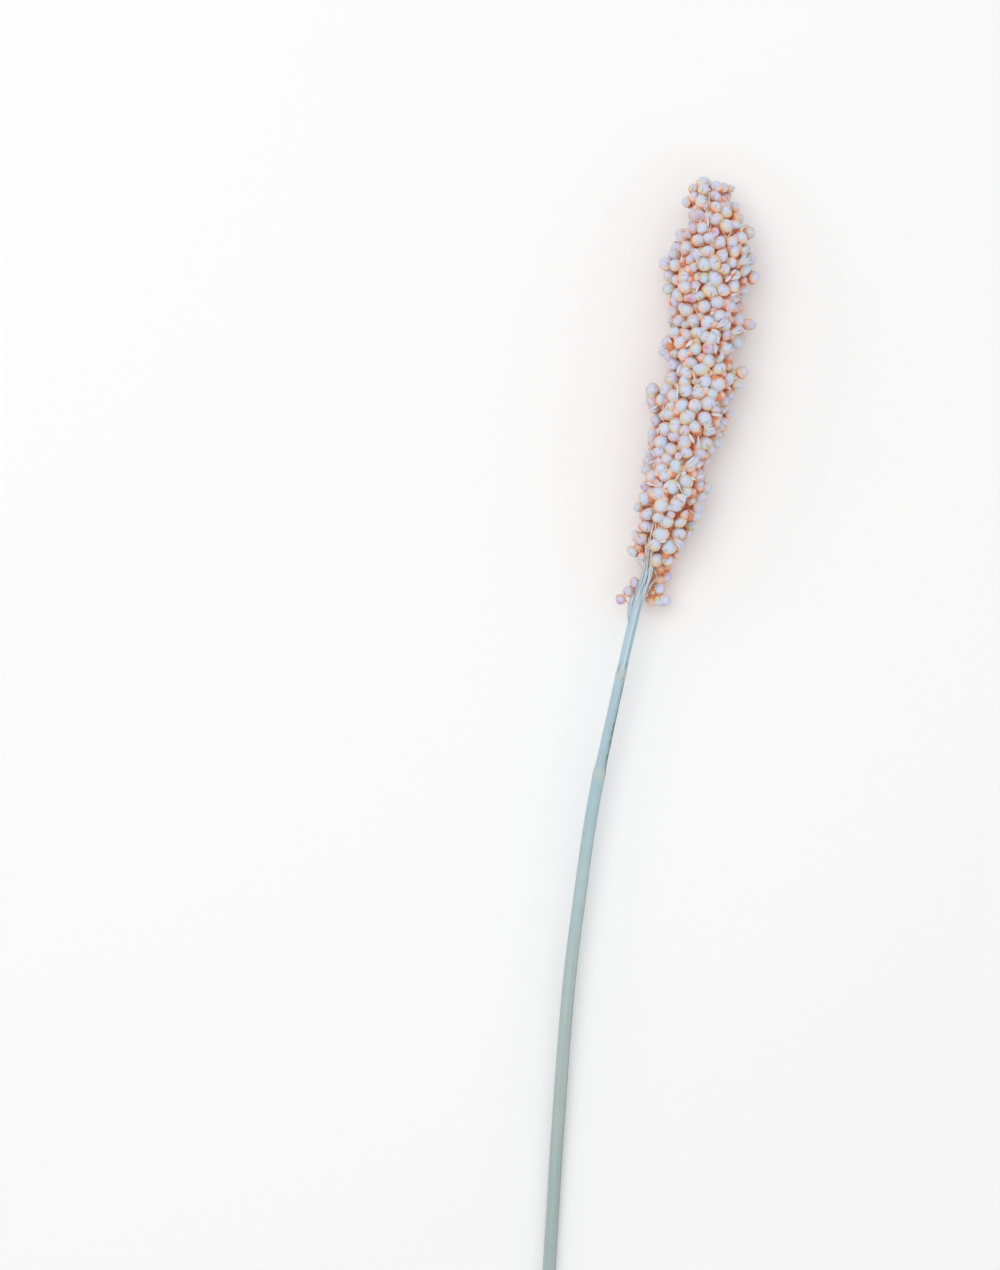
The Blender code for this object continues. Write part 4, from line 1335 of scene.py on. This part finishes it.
def makeHusks():
    draw = np.random.default_rng(looseBlades["seed"])
    master = modelBlade()
    blades = []
    for x, y, length, facing, spread, count, breadth in seenHusks:
        down, angle, root = overHead(x, y, blade["rootBelow"])
        _, outward = headWays(down, angle)
        for index in range(count):
            turn = math.radians(facing + spread * ((index + 0.5) / count - 0.5) + draw.uniform(-3, 3))
            flat = np.array((math.cos(turn), math.sin(turn), 0.0))
            flat = flat - outward * np.dot(flat, outward) * 0.8
            reached = length * photoScale["pixel"] * draw.uniform(0.88, 1.06)
            lift = outward * draw.uniform(0.06, 0.2)
            blades.append(placeBlade(master, root, flat, lift, reached, breadth, draw.uniform(-0.35, 0.35)))
    for down, angle in zip(*evenSpots(looseBlades["count"], looseBlades["spacing"], draw)):
        if inOpenFoot(down, angle):
            continue
        root = headPoint(down, angle, float(reach(down, angle)) - draw.uniform(1.2, 2.4) * mm)
        along, outward = headWays(down, angle)
        turn = draw.uniform(0, math.tau)
        flat = along * math.cos(turn) + unit(np.cross(outward, along)) * math.sin(turn)
        lift = outward * draw.uniform(0.3, 0.8)
        length, breadth, roll = draw.uniform(2.4, 3.8) * mm, draw.uniform(0.7, 1.2), draw.uniform(-0.8, 0.8)
        blades.append(placeBlade(master, root, flat, lift, length, breadth, roll))
    bpy.data.objects.remove(master, do_unlink=True)
    finished(joined(blades, "head_husks"), "head", paperyHusk)


# Thin stalks: one under each grain, loose threads in the gaps, and those that the photo shows

threadPlan = {
    "thickness": 0.40 * mm,
    "rootUp": 7 * mm,  # a grain's stalk starts this much nearer the head's foot
    "rootBelow": 9.5 * mm,
    "looseCount": 90,
    "looseSpacing": 10 * mm,
    "steps": 5,
    "clearTip": 10 * mm,
    "below": 4.0 * mm,
    "hump": 0.8 * mm,
    "loose": 0.22 * mm,
    "seen": 0.40 * mm,
    "seed": 9,
}
seenThreads = (  # how far below the grains' tips, and x, y in pixels
    (3.4, (706.8, 192), (707.4, 203), (709.4, 215), (710.8, 229)),
    (3.0, (709.3, 192), (709.6, 203), (711.2, 213)),
    (2.6, (704.5, 208.5), (706.5, 214), (707.3, 221)),
    (2.4, (721.5, 231), (724, 234.5), (727.5, 238.5)),
    (2.2, (731.5, 232), (728.5, 235.5), (726, 239.5)),
    (2.0, (678.8, 285), (678, 290), (674.5, 295.5)),
    (1.8, (678, 289.5), (680, 292.5), (681.5, 296.5)),
    (0.8, (709, 368), (711.2, 370.5), (711, 373.5), (708, 376.5)),
    (3.0, (656, 519), (655.6, 526), (655, 533), (653.5, 539)),
    (2.6, (659.4, 521), (658.8, 526), (657.8, 531)),
    (2.8, (662.2, 521.5), (661.6, 525), (661.2, 529)),
    (2.6, (665, 401), (663.5, 407), (662.5, 414), (664, 420)),
    (2.6, (700, 222), (706, 214), (708, 209)),
    (2.8, (690, 262), (689, 269), (692, 275)),
    (2.4, (714.5, 246), (714, 252), (711.5, 258), (710.5, 266)),
    (2.8, (694, 308), (696, 312), (697.5, 317)),
    (2.4, (666, 462), (666.8, 467), (666, 471)),
    (2.6, (654.8, 456), (655.2, 463), (655, 470), (656.5, 476)),
    (2.4, (653, 507), (654.5, 512), (653.8, 519)),
    (2.4, (699, 399), (700.5, 404), (703, 408)),
    (2.6, (690.5, 378), (690, 384), (691.5, 390)),
    (2.4, (719.5, 389), (720.2, 393), (720.4, 398)),
)


def makeGrainStalks():
    paths = []
    for foot, way, down, angle in grainFeet:
        out = max(1.0 * mm, float(reach(down, angle)) - threadPlan["rootBelow"])
        root = headPoint(min(down + threadPlan["rootUp"], head["length"]), angle, out)
        middle = (foot + root) / 2 - way * 1.2 * mm
        paths.append([(root, 1.4), (middle, 1.1), (foot + way * 0.4 * mm, 0.9)])
    stalks = threads("head_stalks", paths, threadPlan["thickness"], 0)
    finished(stalks, "head", branchSkin)


def makeLooseThreads():
    draw = np.random.default_rng(threadPlan["seed"])
    paths = []
    for down, angle in zip(*evenSpots(threadPlan["looseCount"], threadPlan["looseSpacing"], draw)):
        if inOpenFoot(down, angle):
            continue
        turn = draw.normal(0, 0.5)
        length = draw.uniform(3, 5) * mm
        path = []
        for step in range(threadPlan["steps"] + 1):
            share = step / threadPlan["steps"]
            here = down - length * share * math.cos(turn)
            at = angle + length * share * math.sin(turn) / max(4 * mm, float(reach(down, angle)))
            if not threadPlan["clearTip"] < here < head["length"]:
                break
            hump = threadPlan["hump"] * math.sin(math.pi * share * 0.8)
            out = float(reach(here, at)) - threadPlan["below"] + hump
            path.append((headPoint(here, at, out), 1 - 0.5 * share))
        if len(path) > 3:
            paths.append(path)
    for depth, *spots in seenThreads:
        points = [overHead(x, y, depth * mm)[2] for x, y in spots]
        paths.append([(point, threadPlan["seen"] / threadPlan["loose"]) for point in Route(points, 4).points])
    finished(threads("head_threads", paths, threadPlan["loose"], 0), "head", branchSkin)


makeHeadGrains()
makeInnerGrains()
makeHeadCore()
makeHusks()
makeGrainStalks()
makeLooseThreads()
print("head made")

# Strands that part from the seed stalk and run up into the head, and thin threads that hang free:
# thickness in millimetres, then x, y in pixels and millimetres above the stalk's middle

seenStrands = (
    (0.7, (636.0, 597, 1.2), (640, 585, 1.6), (643, 575, 1.9), (644.8, 565, 2.2), (645.4, 555, 2.7),
     (645.8, 545, 3.4), (646.4, 535, 4.4)),
    (0.8, (640, 594, 1.8), (643.4, 583, 1.9), (646, 573, 2.1), (647.4, 563, 2.4), (648.6, 553, 3.1),
     (649.6, 543, 4.0), (651.5, 532, 5.2), (654, 521, 6.4)),
    (1.0, (642.8, 600, 1.6), (645.4, 590, 1.7), (648.2, 580, 1.7), (650, 570, 1.9), (650.8, 560, 2.4),
     (652, 550, 3.2), (654, 540, 4.6)),
    (0.6, (645.8, 588, 0.9), (649.6, 580, 1.2), (651.8, 572, 1.4), (652.2, 564, 1.8), (652.6, 556, 2.4)),
    (0.7, (638, 589, 1.4), (641.4, 579, 1.6), (644, 568, 2.0), (646.2, 556, 2.6), (647.4, 547, 3.4),
     (649, 537, 4.6)),
    (0.45, (647.2, 568, 2.6), (646.6, 562, 2.9), (648, 557, 3.3), (646.8, 552, 3.5), (647.8, 547, 3.9)),
    (1.3, (640.6, 602, 1.2), (642.4, 596, 1.5), (643.6, 591, 1.6), (644.8, 585, 1.6)),
    (0.5, (648.4, 586, 0.6), (650.6, 578, 1.0), (651.4, 570, 1.4), (650.2, 562, 1.9)),
    (0.5, (643.0, 592, 1.7), (645.4, 580, 2.2), (648.2, 571, 2.5), (650.8, 564, 2.7)),
)
looseStrands = (
    (0.6, (637.6, 548, 2.6), (640, 553.5, 2.2), (637, 560, 1.8), (639.6, 564.5, 1.5), (642.6, 569.5, 1.5),
     (643.6, 576, 1.6)),
    (0.65, (633.6, 593, 0.6), (630.2, 600, 0.5), (628.2, 609, 0.4), (628.2, 617, 0.6), (628.8, 626, 1.0)),
    (0.45, (638, 584, 0.9), (636, 591, 0.8), (633.4, 599, 0.7), (630.6, 607, 0.6), (629, 614, 0.7)),
    (0.45, (656.6, 577.5, 0.6), (653, 582, 0.9), (649.4, 586.4, 0.9), (645.6, 592, 0.8)),
    (0.4, (653.4, 568, 0.8), (655.6, 573, 0.6), (657.4, 579, 0.4)),
)


def makeFootStrands(name, rows, roundness):
    paths = []
    for thick, *spots in rows:
        points = []
        for x, y, above in spots:
            along = straightFrom(x, y, photoScale["stalkHeight"])[1]
            points.append(seen(x, y, float(stalk.at(along)[2]) + above * mm))
        points = Route(points, 5).points
        fromEnd = [min(index, len(points) - 1 - index) for index in range(len(points))]
        paths.append([(point, thick * min(1.0, 0.35 + 0.16 * e)) for point, e in zip(points, fromEnd)])
    strands = threads(name, paths, 1 * mm, roundness)
    keepStraight(strands)
    finished(strands, "stem", stemSkin)


# Branches on the sides that the photo hides: the length where each leaves, its angle there, the length and
# angle where it ends, and how far out, in millimetres and degrees

footBranches = (
    (309, 10, 330, 0, 5.4), (312, 255, 332, 248, 4.4), (310, 280, 330, 282, 4.8), (308, 320, 328, 322, 5.0),
)
branchShape = {"thickness": 1.6 * mm, "share": 0.5, "steps": 8, "clear": 0.1 * mm}


def makeFootBranches():
    paths = []
    for leaves, startAngle, ends, endAngle, out in footBranches:
        path = []
        for step in range(branchShape["steps"] + 1):
            share = step / branchShape["steps"]
            length = (leaves + (ends - leaves) * share) * mm
            angle = math.radians(startAngle + (endAngle - startAngle) * share)
            radius = float(culmRadius(length))
            away = radius + branchShape["clear"] + (out * mm - radius) * share**1.8
            thick = branchShape["share"] * min(1.0, 0.3 + 2.4 * share)
            path.append((besideStalk(away, angle, length), thick))
        paths.append(path)
    branches = threads("foot_branches", paths, branchShape["thickness"], 1)
    layAlongStalk(branches)
    finished(branches, "stem", stemSkin)


makeFootStrands("foot_strands", seenStrands, 2)
makeFootStrands("foot_threads", looseStrands, 1)
makeFootBranches()

# The loose sprays below the head. Stalk points are x, y in pixels and millimetres above the floor; the
# grains are the kind, x, y and width in pixels, height, and the way and amount that they lean.

lowSprays = {
    "low_spray_left": {
        "stalk": ((629, 606, 12.4), (630.5, 598, 12.2), (633, 590, 11.8), (637, 583, 11.4)),
        "grains": (
            ("pink", 634.6, 582.5, 10.5, 11.6, 80, 0.2),
            ("pink", 628.3, 591.5, 10.5, 11.4, 120, 0.2),
            ("pink", 620.6, 599.3, 10.5, 11.4, 225, 0.5),
            ("pink", 633, 588, 8, 9.8, 200, 0.6),
        ),
    },
    "low_spray_right": {
        "stalk": ((645, 596, 10.8), (650, 588, 10.4), (655, 580, 9.8), (661, 572, 9.0)),
        "grains": (
            ("shut", 665, 567.5, 12.5, 8.4, 20, 0.5),
            ("shut", 657.3, 570, 13, 9.2, 60, 0.4),
            ("pink", 666.8, 577.3, 11, 9.4, 10, 0.4),
            ("shut", 658, 578.5, 13, 8.4, 320, 0.4),
            ("shut", 651.5, 577, 11, 7.4, 90, 0.4),
            ("pale", 659.4, 588.8, 10.5, 9.8, 60, 0.3),
            ("shut", 651, 590, 11, 8.2, 300, 0.5),
            ("shut", 661, 584, 9.5, 7.4, 320, 0.4),
            ("shut", 652, 599.5, 12, 8.8, 250, 0.4),
            ("green", 658.6, 600.8, 11.5, 9.2, 280, 0.3),
            ("pale", 664.6, 600.4, 12, 9.6, 340, 0.3),
            ("shut", 658, 594.5, 10.5, 7.6, 0, 0.4),
        ),
    },
    "low_spray_back": {
        "stalk": ((634, 617, 9.4), (634.5, 606, 8.4), (637, 593, 7.0), (639, 580, 5.6)),
        "grains": (
            ("pale", 645.5, 576.5, 10, 5.2, 90, 1.2),
            ("pink", 647, 584.5, 11.5, 4.8, 20, 1.5),
            ("pink", 637, 587, 11, 5.4, 160, 1.2),
            ("pale", 638.5, 594.5, 11.5, 4.6, 250, 1.6),
        ),
    },
}
sprayShape = {
    "stalk": 0.6 * mm,
    "usualWidth": 11.2,  # pixels
    "rootBack": 2.5 * mm,
    "footBelow": 2.2 * mm,
    # painted shade: the shut grains of the sprays, in the shade behind the others, are coloured dark
    # brown-orange
    "shadedShutTone": (-0.30, 0.4, 0.0),
    "paler": 0.06,
    "seed": 7,
}


def makeLowSpray(name, spec, draw):
    route = Route([seen(x, y, z * mm) for x, y, z in spec["stalk"]], 4)
    paths = [[(point, 1.0) for point in route.points]]
    grains = []
    for look, x, y, width, z, facing, lean in spec["grains"]:
        centre = seen(x, y, z * mm)
        way = leaning(facing, lean)
        kind = kindOf(look, draw)
        size = width / sprayShape["usualWidth"]
        pale, green, pink = grainTone(draw, look)
        tone = sprayShape["shadedShutTone"] if look == "shut" else (pale + sprayShape["paler"], green, pink)
        grains.append(placeGrain(kind, centre, way, draw, size, tone))
        root = route.at(max(0.0, route.nearest(centre) - sprayShape["rootBack"]))
        foot = centre - way * sprayShape["footBelow"] * size
        middle = (root + foot) / 2 - way * 0.5 * mm
        paths.append([(root, 0.9), (middle, 0.8), (foot + way * 0.4 * mm, 0.7)])
    stems = threads(name + "_stalk", paths, sprayShape["stalk"], 1)
    stems.data.materials.append(branchSkin)
    for grain in grains:
        grain.data.materials.append(grainHusk)
    finished(joined([*grains, stems], name + "_grains"), name, grainHusk)


sprayDraw = np.random.default_rng(sprayShape["seed"])
for sprayName, spec in lowSprays.items():
    makeLowSpray(sprayName, spec, sprayDraw)
for master in grainMasters.values():
    bpy.data.objects.remove(master, do_unlink=True)
print("low sprays made")

# Floor, light and camera

studio = {
    "floor": (0.93, 0.93, 0.93),
    "floorSize": 8,
    "world": 0.74,
    "key": {"place": (-0.50, 0.42, 1.40), "size": 1.3, "power": 8.0},
    "fill": {"place": (0.7, -0.3, 0.9), "size": 1.2, "power": 0.8},
}


def makeFloor():
    floor = newPiece(
        "floor", bpy.ops.mesh.primitive_plane_add, size=studio["floorSize"], location=(0, 0, -0.1 * mm)
    )
    bpy.ops.object.transform_apply(location=True, rotation=True, scale=True)
    skin = Skin("paleFloor", 0.8)
    feed(skin.tree, skin.sockets["Base Color"], studio["floor"])
    floor.data.materials.append(skin.material)


def makeLight(name):
    plan = studio[name]
    light = newPiece(name, bpy.ops.object.light_add, type="AREA", location=plan["place"])
    light.data.shape = "SQUARE"
    light.data.size = plan["size"]
    light.data.energy = plan["power"]
    light.rotation_euler = (-Vector(plan["place"])).to_track_quat("-Z", "Y").to_euler()


def makeWorld():
    world = bpy.data.worlds.new("studio")
    world.use_nodes = True
    sockets = world.node_tree.nodes["Background"].inputs
    sockets["Color"].default_value = (1, 1, 1, 1)
    sockets["Strength"].default_value = studio["world"]
    bpy.context.scene.world = world
    bpy.context.scene.view_settings.view_transform = "Standard"


def makeCamera():
    place = Vector(photoScale["viewCentre"]) + Vector((0, 0, viewDistance))
    camera = newPiece("camera", bpy.ops.object.camera_add, location=place, rotation=(0, 0, 0))
    camera.data.lens = photoScale["lens"]
    camera.data.sensor_width = photoScale["sensor"]
    camera.data.clip_start, camera.data.clip_end = 0.01, 50
    bpy.context.scene.camera = camera


makeFloor()
makeLight("key")
makeLight("fill")
makeWorld()
makeCamera()
print("floor, light and camera made")
